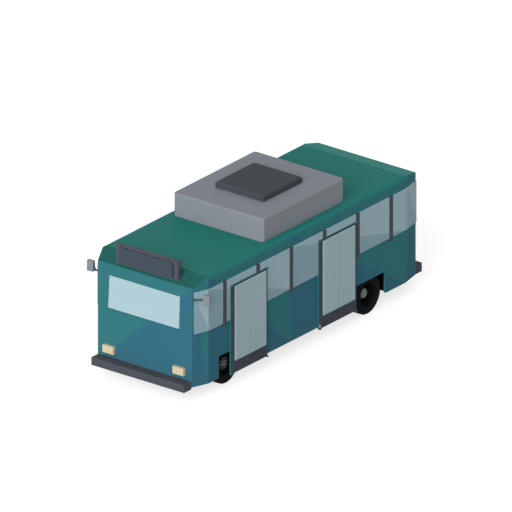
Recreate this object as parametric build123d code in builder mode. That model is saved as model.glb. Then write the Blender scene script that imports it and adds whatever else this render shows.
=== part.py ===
from build123d import *
import os
from math import hypot

# A short low-floor city bus, in millimetres. X points to the bus's own left, Y to its rear and Z up.
# The origin is on the ground under the middle of the bus.
# Stations along the bus are distances behind the flat front face.

# Body shell
body_length = 6980
body_width = 2550
front_inset = 130
rear_inset = 92.5
front_corner = 352
rear_corner = 446
corner_return = 60
wall = 45
skirt_z = 298
glass_low_z = 1411
glass_high_z = 2275
front_top_z = 2361
rear_top_z = 2436
roof_z = 2538
roof_edge_radius = 90

# Glazing and window pillars
glass_proud = 22
glass_lap = 20
glass_gap = 3
facet_margin = 8
corner_post = 40
pillar_width = 105
pillar_pitch = 1045
pillar_count = 6
first_pillar = 783
pillar_proud = 27
pillar_foot = 60

# Windscreen, a moulded screen that leans back
screen_margin = 290
screen_low_z = 1467
screen_high_z = 2125
screen_foot_proud = 50
screen_head_proud = 8
screen_glass = 10

# Rear face
rear_window_margin = 332.5
rear_window_low_z = 1411
rear_window_high_z = 1780
rear_sign_margin = 82.5
rear_sign_low_z = 1842
rear_sign_high_z = 2065
rear_sign_proud = 30
louvre_count = 6
louvre_width = 900
louvre_height = 26
louvre_pitch = 56
louvre_low_z = 640

# Lamps
headlamp_width = 267
headlamp_height = 158
headlamp_proud = 81
headlamp_low_z = 506
headlamp_inset = 160
headlamp_bevel = 14
tail_lamp_width = 110
tail_lamp_height = 150
tail_lamp_pitch = 165
tail_lamp_count = 3
tail_lamp_proud = 26
tail_lamp_low_z = 640
tail_lamp_inset = 60

# Bumpers
bumper_depth = 254
front_bumper_margin = 14
front_bumper_low_z = 256
front_bumper_high_z = 413
rear_bumper_margin = 22.5
rear_bumper_low_z = 285
rear_bumper_high_z = 463
bumper_corner = 30
bumper_edge = 22

# Destination sign on the front slope of the roof
sign_width = 1508
sign_depth = 94
sign_station = 62
sign_top_z = 2794
sign_panel_width = 1288
sign_panel_proud = 42
sign_pocket = 50
sign_border = 34
sign_clearance = 2

# Roof unit and its hatch
unit_margin = 185
unit_length = 2560
unit_height = 481
unit_station = 2294
unit_bevel = 45
unit_top_bevel = 20
unit_skin = 30
hatch_width = 1173
hatch_length = 1210
hatch_height = 125
hatch_bevel = 18

# Mirrors and the flat brackets that carry them
mirror_reach = 136
mirror_width = 153
mirror_depth = 64
mirror_station = 128
mirror_low_z = 2029
mirror_high_z = 2250
mirror_edge = 14
bracket_start = 6
bracket_width = 28
bracket_height = 28
bracket_root = 40
bracket_elbow = 60

# Doors on the left side: the front one is placed from the front face, the rear one from the rear axle
front_door_station = 1011
front_door_width = 1155
rear_door_lead = 1671
rear_door_width = 1181
door_strip = 31
door_strip_proud = 29
door_post = 45
door_transom = 44
leaf_low_z = 285
leaf_high_z = 2100
leaf_gap = 5
leaf_thickness = 22
leaf_meeting_gap = 6
leaf_pin_radius = 7
leaf_lug_height = 16
leaf_lug_reach = 34
pane_low_z = 538
pane_high_z = 2096
pane_proud = 23
pane_lap = 22
pane_bevel = 7
pane_hinge_margin = 60
pane_meeting_margin = 4

# Running gear
wheel_radius = 404
wheel_sides = 60
tyre_width = 230
tyre_tread_width = 184
tyre_shoulder_radius = 374
rim_seat_radius = 248
tyre_seat_gap = 0.3
rim_width = 216
rim_wall = 16
rim_disc = 16
hub_radius = 78
front_axle_station = 1125
rear_overhang = 1532
front_tyre_inset = 165
rear_tyre_inset = 65
twin_tyre_gap = 25
running_fit = 0.05
turn_gap = 5

# Front axle, knuckles and tie rod
kingpin_inset = 430
kingpin_radius = 20
axle_boss_radius = 50
axle_boss_height = 120
axle_beam_width = 100
axle_beam_low_z = 165
axle_beam_depth = 85
axle_drop = 255
axle_neck = 75
knuckle_plate = 50
knuckle_plate_radius = 45
knuckle_web = 35
knuckle_web_gap = 10
knuckle_web_width = 120
spindle_radius = 35
spindle_length = 100
steering_arm = 220
steering_arm_width = 40
steering_arm_boss_radius = 24
tie_rod_radius = 14
tie_rod_eye_radius = 28
tie_rod_eye_height = 36
tie_rod_z = 230
ball_pin_radius = 12
open_pivot_gap = 0.3

# Rear axle
rear_tube_radius = 65
differential_radius = 165
differential_width = 260
rear_stub_radius = 45
rear_hub_radius = 100

# Wheel boxes over the wheels and the rectangular arches cut in the walls
arch_top_z = 752
front_arch_length = 900
rear_arch_length = 931
wheel_box_half_length = 530
wheel_box_top_z = 880
wheel_box_wall = 12
front_wheel_box_depth = 675
rear_wheel_box_depth = 595
axle_slot_gap = 20

# Floor and chassis
floor_z = 370
rear_floor_z = 680
floor_thickness = 30
riser_lead = 538
step_depth = 300
step_width = 600
rail_inset = 825
rail_width = 80
rail_low_z = 270
rear_rail_low_z = 560
rail_front_station = 150
rail_rear_margin = 160
rail_rise_length = 150
crossmember_width = 80
crossmember_gap = 25
front_crossmember = 420
floor_crossmembers = 4
pad_radius = 60
pad_height = 15
front_pad_offset = 220
rear_pad_offset = 130
tow_eye_station = -60
tow_eye_z = 205
tow_eye_radius = 40
tow_eye_bore = 20
tow_eye_plate = 30
tow_eye_neck = 40
engine_rear_margin = 270
engine_length = 600
engine_gap = 10
engine_low_z = 300
engine_top_z = 640
front_spring_radius = 80
rear_spring_radius = 95

# Cabin fittings
plinth_z = 640
plinth_width = 535
plinth_corner_gap = 50
console_station = 60
console_depth = 270
console_top_depth = 150
console_top_z = 1390
console_shelf_z = 1150
console_margin = 15
steering_inset = 445
steering_station = 480
steering_z = 1290
steering_wheel_radius = 215
steering_rim = 26
steering_column_radius = 24
seat_pan = 430
seat_height = 430
seat_back = 520
seat_rake = 90
seat_shell = 42
seat_bend = 60
seat_leg_width = 120
seat_leg_depth = 160
double_seat = 880
single_seat = 480
seat_wall_gap = 30
right_row_station = 2000
right_row_pitch = 800
left_row_gap = 134
left_row_pitch = 750
driver_seat_lead = 405
rear_seat_lead = 298
bench_margin = 830
pole_radius = 17
pole_gap = 18
pole_lead = 120
riser_pole_gap = 210
door_pole_gap = 77
pole_rail_z = 1950
pole_clamp = 54

# Values worked out from the sizes above
front_width = body_width - 2 * front_inset
rear_width = body_width - 2 * rear_inset
screen_width = front_width - 2 * screen_margin
rear_window_width = rear_width - 2 * rear_window_margin
rear_sign_width = rear_width - 2 * rear_sign_margin
unit_width = body_width - 2 * unit_margin
rear_axle_station = body_length - rear_overhang
floor_riser_station = rear_axle_station - riser_lead
engine_station = body_length - engine_rear_margin - engine_length
doors = {"front_door": (front_door_station, front_door_width),
         "rear_door": (rear_axle_station - rear_door_lead, rear_door_width)}
front_y = -body_length / 2
rear_y = body_length / 2
side_x = body_width / 2
inner_x = side_x - wall
wall_top_z = glass_low_z + glass_lap
roof_low_z = glass_high_z - glass_lap
glass_height = glass_high_z - glass_low_z
glass_mid_z = (glass_high_z + glass_low_z) / 2
ceiling_z = roof_z - wall
floor_low_z = floor_z - floor_thickness
rear_floor_low_z = rear_floor_z - floor_thickness
front_facet = ((front_width / 2, front_y), (side_x, front_y + front_corner))
rear_facet = ((side_x, rear_y - rear_corner), (rear_width / 2, rear_y))
front_margins = (corner_post, facet_margin)
rear_margins = (facet_margin, facet_margin)
side_end = body_length - rear_corner
pillars = [(first_pillar + i * pillar_pitch, first_pillar + i * pillar_pitch + pillar_width)
           for i in range(pillar_count)]
door_spans = [(start, start + width) for start, width in doors.values()]
strip_low_z = leaf_low_z - leaf_gap - leaf_lug_height
strip_high_z = leaf_high_z + leaf_gap + leaf_lug_height
transom_top_z = strip_high_z + glass_gap + glass_lap
strip_x = side_x + door_strip_proud
leaf_x = strip_x + leaf_gap
leaf_out_x = leaf_x + leaf_thickness
pin_x = leaf_x + leaf_thickness / 2
nose_radius = leaf_thickness / 2
axle_z = wheel_radius
boss_low_z = axle_z - axle_boss_height / 2
boss_high_z = axle_z + axle_boss_height / 2
kingpin_x = side_x - kingpin_inset
axle_drop_x = kingpin_x - axle_drop
rail_x = side_x - rail_inset
front_wheel_box_x = side_x - front_wheel_box_depth
rear_wheel_box_x = side_x - rear_wheel_box_depth
front_tyre_x = side_x - front_tyre_inset - tyre_width / 2
outer_twin_x = side_x - rear_tyre_inset - tyre_width / 2
inner_twin_x = outer_twin_x - tyre_width - twin_tyre_gap
web_x = kingpin_x + axle_boss_radius + knuckle_web_gap
spindle_x = web_x + knuckle_web


def station(distance):
    """Y of a point that lies this far behind the front face."""
    return front_y + distance


def block(low, high, mode=Mode.ADD):
    """Box between two opposite corners."""
    size = [abs(b - a) for a, b in zip(low, high)]
    centre = [(a + b) / 2 for a, b in zip(low, high)]
    with Locations(tuple(centre)):
        Box(*size, mode=mode)


def post(centre, low, high, radius, mode=Mode.ADD):
    """Upright cylinder at (x, y) from a low to a high z."""
    with Locations((*centre, (low + high) / 2)):
        Cylinder(radius, high - low, mode=mode)


def profile_along_x(points, x_low, x_high, mode=Mode.ADD):
    """Outline of (y, z) points carried sideways from one x to another."""
    with BuildSketch(Plane.YZ.offset(x_low)) as outline:
        with BuildLine():
            Polyline(*points, close=True)
        make_face()
    extrude(outline.sketch, amount=x_high - x_low, mode=mode)


def body_plan():
    """Outline of the body seen from above, drawn in the open sketch."""
    left = [*front_facet, *rear_facet]
    right = [(-x, y) for x, y in reversed(left)]
    with BuildLine() as outline:
        Polyline(*left, *right, close=True)
    make_face(outline.edges())


def wall_ring(low, high):
    """The body's outline raised as a wall of its real thickness."""
    with BuildSketch(Plane.XY.offset(low)) as ring:
        body_plan()
        offset(amount=-wall, kind=Kind.INTERSECTION, mode=Mode.SUBTRACT)
    extrude(ring.sketch, amount=high - low)


def inside_plate(low, high):
    """A plate that fills the body from wall to wall."""
    with BuildSketch(Plane.XY.offset(low)) as inside:
        body_plan()
        offset(amount=-wall, kind=Kind.INTERSECTION, mode=Mode.REPLACE)
    extrude(inside.sketch, amount=high - low)


def facet_sketch(facet, margins, side, lap=0):
    """Outline of a corner facet's pane, or of its window where a lap is taken off all round.

    The margins are the widths of wall before and behind the pane, along the facet.
    """
    (x0, y0), (x1, y1) = facet
    length = hypot(x1 - x0, y1 - y0)
    middle = (length + margins[0] - margins[1]) / 2
    origin = (side * (x0 + (x1 - x0) * middle / length), y0 + (y1 - y0) * middle / length, glass_mid_z)
    plane = Plane(origin=origin, x_dir=(side * (x1 - x0), y1 - y0, 0), z_dir=(side * (y1 - y0), x0 - x1, 0))
    with BuildSketch(plane) as outline:
        Rectangle(length - sum(margins) - 2 * lap, glass_height - 2 * lap)
    return outline.sketch


def facet_window(facet, margins):
    """Cut the window of a corner facet on both sides."""
    for side in (1, -1):
        extrude(facet_sketch(facet, margins, side, glass_lap), amount=-2 * wall, mode=Mode.SUBTRACT)


def gaps_between(stops, start, end):
    """Stretches from start to end that the stops leave clear and that are wide enough for a pane."""
    edges = [start, *[edge for stop in sorted(stops) for edge in stop], end]
    return [(a, b) for a, b in zip(edges[0::2], edges[1::2]) if b - a > 2 * glass_lap]


def over_door(pillar):
    """True where a pillar of the left side stands over a door."""
    return any(start < pillar[0] < end for start, end in door_spans)


def portal_post_end(clear_edge, outward):
    """Station where a doorway's post ends: at its full width, or at the post of a window pillar close by."""
    pillar_posts = [face for start, end in pillars for face in (start - glass_lap, end + glass_lap)]
    room = [outward * (face - clear_edge) for face in pillar_posts]
    return clear_edge + outward * min([door_post, *[gap for gap in room if gap > 0]])


def cut_arches(side):
    """Cut both rectangular wheel arches of one side."""
    for axle, length in ((front_axle_station, front_arch_length), (rear_axle_station, rear_arch_length)):
        block((side * inner_x - side * wall, station(axle - length / 2), 0),
              (side * side_x + side * wall, station(axle + length / 2), arch_top_z), Mode.SUBTRACT)


def finish(name, builder):
    """Label a finished piece and write it."""
    builder.part.label = name
    export_step(builder.part, f"parts/{name}.step")


os.makedirs("parts", exist_ok=True)

# Front wall with both front corners, from the skirt to the roof
split_front = front_corner + corner_return
split_rear = side_end - corner_return
with BuildPart() as front_wall:
    wall_ring(skirt_z, roof_low_z)
    block((-side_x, front_y, skirt_z), (side_x, station(split_front), roof_low_z), Mode.INTERSECT)
    block((-screen_width / 2 + glass_lap, front_y - wall, screen_low_z + glass_lap),
          (screen_width / 2 - glass_lap, front_y + 2 * wall, screen_high_z - glass_lap), Mode.SUBTRACT)
    facet_window(front_facet, front_margins)
finish("front_wall", front_wall)

# Rear wall with both rear corners, the rear window and the louvres of the engine bay
with BuildPart() as rear_wall:
    wall_ring(skirt_z, roof_low_z)
    block((-side_x, station(split_rear), skirt_z), (side_x, rear_y, roof_low_z), Mode.INTERSECT)
    block((-rear_window_width / 2 + glass_lap, rear_y - 2 * wall, rear_window_low_z + glass_lap),
          (rear_window_width / 2 - glass_lap, rear_y + wall, rear_window_high_z - glass_lap), Mode.SUBTRACT)
    for i in range(louvre_count):
        slot_z = louvre_low_z + i * louvre_pitch
        block((-louvre_width / 2, rear_y - 2 * wall, slot_z),
              (louvre_width / 2, rear_y + wall, slot_z + louvre_height), Mode.SUBTRACT)
    facet_window(rear_facet, rear_margins)
finish("rear_wall", rear_wall)

# Right wall, below its windows
with BuildPart() as right_wall:
    wall_ring(skirt_z, wall_top_z)
    block((-side_x, station(split_front), skirt_z), (-inner_x, station(split_rear), wall_top_z), Mode.INTERSECT)
    cut_arches(-1)
finish("right_wall", right_wall)

# Left wall, in three panels beside the doorways
with BuildPart() as left_wall:
    wall_ring(skirt_z, wall_top_z)
    block((inner_x, station(split_front), skirt_z), (side_x, station(split_rear), wall_top_z), Mode.INTERSECT)
    cut_arches(1)
    for start, end in door_spans:
        block((inner_x - wall, station(start + door_strip), 0),
              (side_x + wall, station(end - door_strip), wall_top_z + wall), Mode.SUBTRACT)
finish("left_wall", left_wall)

# Roof shell, with its front and rear slopes and its side flanges down to the glass
with BuildPart() as roof:
    with BuildSketch(Plane.XY.offset(roof_low_z)):
        body_plan()
    extrude(amount=roof_z - roof_low_z)
    with BuildSketch(Plane.YZ):
        with BuildLine():
            Polyline((front_y, roof_low_z), (front_y, front_top_z), (front_y + front_corner, roof_z),
                     (rear_y - rear_corner, roof_z), (rear_y, rear_top_z), (rear_y, roof_low_z), close=True)
        make_face()
    extrude(amount=side_x, both=True, mode=Mode.INTERSECT)
    with BuildSketch(Plane.XZ) as roof_section:
        with Locations((0, (roof_low_z + roof_z) / 2)):
            Rectangle(body_width, roof_z - roof_low_z)
        fillet(roof_section.vertices().group_by(Axis.Y)[-1], roof_edge_radius)
    extrude(amount=body_length / 2, both=True, mode=Mode.INTERSECT)
    offset(amount=-wall, openings=roof.faces().sort_by(Axis.Z)[0], kind=Kind.INTERSECTION)
finish("roof", roof)

# Windscreen: a leaning sheet with returned edges, hollow behind
with BuildPart() as windscreen:
    profile_along_x([(front_y, screen_low_z), (front_y - screen_foot_proud, screen_low_z),
                     (front_y - screen_head_proud, screen_high_z), (front_y, screen_high_z)],
                    -screen_width / 2, screen_width / 2)
    hollow_foot = screen_foot_proud - 2 * screen_glass
    profile_along_x([(front_y, screen_low_z + glass_lap), (front_y - hollow_foot, screen_low_z + glass_lap),
                     (front_y, screen_high_z - 6 * glass_lap)],
                    -screen_width / 2 + glass_lap, screen_width / 2 - glass_lap, Mode.SUBTRACT)
finish("windscreen", windscreen)

# Side glass: one pane to each bay, the panes above the doors and the corner panes
left_stops = door_spans + [pillar for pillar in pillars if not over_door(pillar)]
with BuildPart() as side_glazing:
    bays = [(1, a, b, glass_low_z) for a, b in gaps_between(left_stops, front_corner, side_end)]
    bays += [(-1, a, b, glass_low_z) for a, b in gaps_between(pillars, front_corner, side_end)]
    for start, end in door_spans:
        above = [pillar for pillar in pillars if start < pillar[0] < end]
        bays += [(1, a, b, strip_high_z + glass_gap) for a, b in gaps_between(above, start, end)]
    for side, bay_front, bay_rear, low in bays:
        block((side * side_x, station(bay_front + glass_gap), low),
              (side * (side_x + glass_proud), station(bay_rear - glass_gap), glass_high_z))
    for facet, margins in ((front_facet, front_margins), (rear_facet, rear_margins)):
        for side in (1, -1):
            extrude(facet_sketch(facet, margins, side), amount=glass_proud)
finish("side_glazing", side_glazing)

# Rear window and the blank sign panel above it
with BuildPart() as rear_glazing:
    block((-rear_window_width / 2, rear_y, rear_window_low_z),
          (rear_window_width / 2, rear_y + glass_proud, rear_window_high_z))
finish("rear_glazing", rear_glazing)

with BuildPart() as rear_sign:
    block((-rear_sign_width / 2, rear_y, rear_sign_low_z),
          (rear_sign_width / 2, rear_y + rear_sign_proud, rear_sign_high_z))
    chamfer(rear_sign.faces().sort_by(Axis.Y)[-1].edges(), rear_sign_proud / 3)
finish("rear_sign", rear_sign)

# Window pillars: a post inside the wall line and a cover strip outside it
with BuildPart() as window_pillars:
    for side in (1, -1):
        for pillar in pillars:
            short = side > 0 and over_door(pillar)
            post_low = transom_top_z if short else wall_top_z
            cover_low = strip_high_z + glass_gap if short else glass_low_z - pillar_foot
            block((side * inner_x, station(pillar[0] - glass_lap), post_low),
                  (side * side_x, station(pillar[1] + glass_lap), roof_low_z))
            block((side * side_x, station(pillar[0]), cover_low),
                  (side * (side_x + pillar_proud), station(pillar[1]), glass_high_z))
finish("window_pillars", window_pillars)

# Door surrounds: strips round each doorway, the portal behind them and the lugs that hold the leaf pins
with BuildPart() as door_surrounds:
    for start, end in door_spans:
        clear_start = start + door_strip
        clear_end = end - door_strip
        for edge, clear_edge, outward in ((start, clear_start, -1), (end, clear_end, 1)):
            block((side_x, station(edge), strip_low_z), (strip_x, station(clear_edge), strip_high_z))
            block((inner_x, station(clear_edge), wall_top_z),
                  (side_x, station(portal_post_end(clear_edge, outward)), transom_top_z))
            pin_y = station(clear_edge - outward * nose_radius)
            for lug_low in (strip_low_z, strip_high_z - leaf_lug_height):
                lug_high = lug_low + leaf_lug_height
                block((side_x, station(edge), lug_low),
                      (strip_x + leaf_lug_reach, pin_y - outward * nose_radius, lug_high))
        block((side_x, station(start), strip_high_z - leaf_lug_height),
              (strip_x, station(end), strip_high_z))
        block((inner_x, station(clear_start), transom_top_z - door_transom),
              (side_x, station(clear_end), transom_top_z))
        for pin_station in (clear_start + nose_radius, clear_end - nose_radius):
            post((pin_x, station(pin_station)), strip_low_z, strip_high_z,
                 leaf_pin_radius + running_fit, Mode.SUBTRACT)
finish("door_surrounds", door_surrounds)

# Door leaves: each turns on pins in its round outer edge, and carries a pane on its face
for door_name, (start, width) in doors.items():
    middle = start + width / 2
    hands = (("front", start + door_strip, 1), ("rear", start + width - door_strip, -1))
    for hand, hinge_edge, inward in hands:
        pin_y = station(hinge_edge + inward * nose_radius)
        free_y = station(middle - inward * leaf_meeting_gap / 2)
        pane_start = station(hinge_edge + inward * pane_hinge_margin)
        pane_end = free_y - inward * pane_meeting_margin
        with BuildPart() as leaf:
            block((leaf_x, pin_y, leaf_low_z), (leaf_out_x, free_y, leaf_high_z))
            post((pin_x, pin_y), leaf_low_z, leaf_high_z, nose_radius)
            post((pin_x, pin_y), strip_low_z, strip_high_z, leaf_pin_radius)
            block((leaf_x - wall, pane_start + inward * pane_lap, pane_low_z + pane_lap),
                  (leaf_out_x + wall, pane_end - inward * pane_lap, pane_high_z - pane_lap), Mode.SUBTRACT)
        finish(f"{door_name}_{hand}_leaf", leaf)
        with BuildPart() as pane:
            block((leaf_out_x, pane_start, pane_low_z), (leaf_out_x + pane_proud, pane_end, pane_high_z))
            chamfer(pane.faces().sort_by(Axis.X)[-1].edges(), pane_bevel)
        finish(f"{door_name}_{hand}_pane", pane)

# Bumpers with bevelled corners
front_bumper_width = front_width - 2 * front_bumper_margin
rear_bumper_width = rear_width - 2 * rear_bumper_margin
bumpers = (("front_bumper", front_y, -1, front_bumper_width, front_bumper_low_z, front_bumper_high_z),
           ("rear_bumper", rear_y, 1, rear_bumper_width, rear_bumper_low_z, rear_bumper_high_z))
for name, face_y, outward, width, low, high in bumpers:
    with BuildPart() as bumper:
        block((-width / 2, face_y, low), (width / 2, face_y + outward * bumper_depth, high))
        outer_face = bumper.faces().sort_by(Axis.Y)[-1 if outward > 0 else 0]
        chamfer(outer_face.edges().filter_by(Axis.Z), bumper_corner)
        outer_face = bumper.faces().sort_by(Axis.Y)[-1 if outward > 0 else 0]
        chamfer(outer_face.edges().filter_by(Axis.X), bumper_edge)
    finish(name, bumper)

# Lamps
with BuildPart() as headlamps:
    lamp_edge = front_width / 2 - headlamp_inset
    for side in (1, -1):
        block((side * lamp_edge, front_y, headlamp_low_z),
              (side * (lamp_edge - headlamp_width), front_y - headlamp_proud, headlamp_low_z + headlamp_height))
    for face in headlamps.faces().group_by(Axis.Y)[0]:
        chamfer(face.edges(), headlamp_bevel)
finish("headlamps", headlamps)

with BuildPart() as tail_lamps:
    lamp_edge = rear_width / 2 - tail_lamp_inset
    for side in (1, -1):
        for i in range(tail_lamp_count):
            low = tail_lamp_low_z + i * tail_lamp_pitch
            block((side * lamp_edge, rear_y, low),
                  (side * (lamp_edge - tail_lamp_width), rear_y + tail_lamp_proud, low + tail_lamp_height))
finish("tail_lamps", tail_lamps)

# Destination sign: a housing cut to the roof's slope and a blank panel in its pocket
slope = (roof_z - front_top_z) / front_corner
sign_rear = sign_station + sign_depth
sign_low_z = front_top_z + slope * sign_station
panel_low_z = front_top_z + slope * (sign_station + sign_pocket) + sign_border
with BuildPart() as sign_frame:
    profile_along_x([(station(sign_station), sign_low_z), (station(sign_station), sign_top_z),
                     (station(sign_rear), sign_top_z), (station(sign_rear), front_top_z + slope * sign_rear)],
                    -sign_width / 2, sign_width / 2)
    block((-sign_panel_width / 2 - sign_clearance, station(sign_station - sign_depth), panel_low_z - sign_clearance),
          (sign_panel_width / 2 + sign_clearance, station(sign_station + sign_pocket),
           sign_top_z - sign_border + sign_clearance), Mode.SUBTRACT)
finish("sign_frame", sign_frame)

with BuildPart() as sign_panel:
    block((-sign_panel_width / 2, station(sign_station - sign_panel_proud), panel_low_z),
          (sign_panel_width / 2, station(sign_station + sign_pocket), sign_top_z - sign_border))
finish("sign_panel", sign_panel)

# Roof unit and its hatch
unit_low_y = station(unit_station)
unit_high_y = station(unit_station + unit_length)
with BuildPart() as roof_unit:
    block((-unit_width / 2, unit_low_y, roof_z), (unit_width / 2, unit_high_y, roof_z + unit_height))
    chamfer(roof_unit.edges().filter_by(Axis.Z), unit_bevel)
    chamfer(roof_unit.faces().sort_by(Axis.Z)[-1].edges(), unit_top_bevel)
    offset(amount=-unit_skin, openings=roof_unit.faces().sort_by(Axis.Z)[0], kind=Kind.INTERSECTION)
finish("roof_unit", roof_unit)

with BuildPart(Plane((0, (unit_low_y + unit_high_y) / 2, roof_z + unit_height))) as roof_hatch:
    Box(hatch_width, hatch_length, hatch_height, align=(Align.CENTER, Align.CENTER, Align.MIN))
    chamfer(roof_hatch.faces().sort_by(Axis.Z)[-1].edges(), hatch_bevel)
    offset(amount=-unit_skin, openings=roof_hatch.faces().sort_by(Axis.Z)[0], kind=Kind.INTERSECTION)
finish("roof_hatch", roof_hatch)

# Mirrors: a flat bracket stands off each front corner post and carries the head at its middle
mirror_x = side_x + mirror_reach
mirror_y = station(mirror_station)
head_side_x = mirror_x - mirror_width / 2
bracket_head_y = mirror_y - bracket_width / 2
along_facet = Vector(front_inset, front_corner).normalized()
off_facet = Vector(front_corner, -front_inset).normalized()
root_front = Vector(*front_facet[0]) + along_facet * bracket_start
root_rear = root_front + along_facet * bracket_width
bracket_plan = [root_front, root_rear, root_rear + off_facet * bracket_root,
                Vector(head_side_x, bracket_head_y + bracket_width), Vector(head_side_x, bracket_head_y),
                root_front + off_facet * bracket_elbow]
with BuildPart() as mirror_arms:
    for side in (1, -1):
        with BuildSketch(Plane.XY.offset((mirror_low_z + mirror_high_z - bracket_height) / 2)):
            with BuildLine():
                Polyline(*[(side * point.X, point.Y) for point in bracket_plan], close=True)
            make_face()
        extrude(amount=bracket_height)
finish("mirror_arms", mirror_arms)

with BuildPart() as mirror_heads:
    for side in (1, -1):
        block((side * mirror_x - mirror_width / 2, mirror_y - mirror_depth / 2, mirror_low_z),
              (side * mirror_x + mirror_width / 2, mirror_y + mirror_depth / 2, mirror_high_z))
    fillet(mirror_heads.edges().filter_by(Axis.Y), mirror_edge)
finish("mirror_heads", mirror_heads)

# Wheel boxes: open below and open to the arch on the outside, the rear ones slotted for the axle tube
front_box = (front_axle_station, front_wheel_box_x, floor_low_z)
rear_box = (rear_axle_station, rear_wheel_box_x, skirt_z)
axle_slot = rear_tube_radius + axle_slot_gap
with BuildPart() as wheel_boxes:
    for axle, box_x, low in (front_box, rear_box):
        box_front = station(axle - wheel_box_half_length)
        box_rear = station(axle + wheel_box_half_length)
        for side in (1, -1):
            block((side * box_x, box_front, low), (side * inner_x, box_rear, wheel_box_top_z))
            block((side * (box_x + wheel_box_wall), box_front + wheel_box_wall, low),
                  (side * (inner_x - wheel_box_wall), box_rear - wheel_box_wall, wheel_box_top_z - wheel_box_wall),
                  Mode.SUBTRACT)
            block((side * (inner_x - wheel_box_wall), box_front + wheel_box_wall, low),
                  (side * inner_x, box_rear - wheel_box_wall, arch_top_z), Mode.SUBTRACT)
    for side in (1, -1):
        block((side * rear_wheel_box_x, station(rear_axle_station) - axle_slot, skirt_z),
              (side * (rear_wheel_box_x + wheel_box_wall), station(rear_axle_station) + axle_slot,
               axle_z + axle_slot), Mode.SUBTRACT)
finish("wheel_boxes", wheel_boxes)

# Low floor with its door thresholds
riser_y = station(floor_riser_station)
with BuildPart() as floor_deck:
    inside_plate(floor_low_z, floor_z)
    block((-side_x, front_y, floor_low_z), (side_x, riser_y, floor_z), Mode.INTERSECT)
    for start, end in door_spans:
        block((inner_x, station(start + door_strip), floor_low_z),
              (side_x, min(station(end - door_strip), riser_y), floor_z))
    for side in (1, -1):
        axle, box_x, low = front_box
        block((side * box_x, station(axle - wheel_box_half_length), low),
              (side * side_x, station(axle + wheel_box_half_length), wheel_box_top_z), Mode.SUBTRACT)
finish("floor_deck", floor_deck)

# Risers that stand on the low floor: the one with a step up to the rear floor, and the driver's plinth
plinth_outer_x = front_width / 2 - plinth_corner_gap
plinth_inner_x = plinth_outer_x - plinth_width
with BuildPart() as floor_risers:
    block((-inner_x, riser_y - floor_thickness, floor_z), (inner_x, riser_y, rear_floor_z))
    block((-step_width / 2, riser_y - step_depth, floor_z), (step_width / 2, riser_y, (floor_z + rear_floor_z) / 2))
    block((-plinth_outer_x, station(console_station), floor_z),
          (-plinth_inner_x, station(front_axle_station - wheel_box_half_length), plinth_z))
finish("floor_risers", floor_risers)

# Raised rear floor
with BuildPart() as rear_floor:
    inside_plate(rear_floor_low_z, rear_floor_z)
    block((-side_x, riser_y, rear_floor_low_z), (side_x, rear_y, rear_floor_z), Mode.INTERSECT)
    for side in (1, -1):
        axle, box_x, low = rear_box
        block((side * box_x, station(axle - wheel_box_half_length), low),
              (side * side_x, station(axle + wheel_box_half_length), wheel_box_top_z), Mode.SUBTRACT)
finish("rear_floor", rear_floor)

# Chassis rails: two stepped beams with jacking pads, and a tow eye on the left one
rail_rise_end = floor_riser_station + rail_rise_length
rail_rear_station = body_length - rail_rear_margin
first_member = front_axle_station + wheel_box_half_length + crossmember_gap
last_member = floor_riser_station - crossmember_width - 2 * crossmember_gap
pad_stations = (first_member + front_pad_offset, last_member - rear_pad_offset)
with BuildPart() as chassis_rails:
    for side in (1, -1):
        inner_edge = min(side * rail_x - rail_width / 2, side * rail_x + rail_width / 2)
        profile_along_x([(station(rail_front_station), rail_low_z), (station(rail_rise_end), rail_low_z),
                         (station(rail_rise_end), rear_rail_low_z), (station(rail_rear_station), rear_rail_low_z),
                         (station(rail_rear_station), rear_floor_low_z), (riser_y, rear_floor_low_z),
                         (riser_y, floor_low_z), (station(rail_front_station), floor_low_z)],
                        inner_edge, inner_edge + rail_width)
        for pad_station in pad_stations:
            post((side * rail_x, station(pad_station)), rail_low_z - pad_height, rail_low_z, pad_radius)
    profile_along_x([(station(tow_eye_station), tow_eye_z - tow_eye_neck / 2),
                     (station(rail_front_station + 2 * tow_eye_neck), tow_eye_z - tow_eye_neck / 2),
                     (station(rail_front_station + 2 * tow_eye_neck), rail_low_z),
                     (station(rail_front_station), rail_low_z),
                     (station(rail_front_station), tow_eye_z + tow_eye_neck / 2),
                     (station(tow_eye_station), tow_eye_z + tow_eye_neck / 2)],
                    rail_x - tow_eye_plate / 2, rail_x + tow_eye_plate / 2)
    with Locations(Location((rail_x, station(tow_eye_station), tow_eye_z), (0, 90, 0))):
        Cylinder(tow_eye_radius, tow_eye_plate)
        Cylinder(tow_eye_bore, tow_eye_plate, mode=Mode.SUBTRACT)
finish("chassis_rails", chassis_rails)

# Crossmembers between the rails and outriggers beside them. Columns: station, underside, top and reach in x
member_pitch = (last_member - first_member) / (floor_crossmembers - 1)
member_stations = [front_crossmember, *[first_member + i * member_pitch for i in range(floor_crossmembers)]]
member_table = [(member, rail_low_z, floor_low_z, inner_x) for member in member_stations]
high_stations = (engine_station - engine_gap - crossmember_width, engine_station + engine_length + engine_gap)
member_table += [(member, rear_rail_low_z, rear_floor_low_z, rear_width / 2 - 2 * wall) for member in high_stations]
rail_inner_x = rail_x - rail_width / 2
rail_outer_x = rail_x + rail_width / 2
with BuildPart() as crossmembers:
    for member, low, high, reach in member_table:
        for x_low, x_high in ((-reach, -rail_outer_x), (-rail_inner_x, rail_inner_x), (rail_outer_x, reach)):
            block((x_low, station(member), low), (x_high, station(member + crossmember_width), high))
finish("crossmembers", crossmembers)

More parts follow.
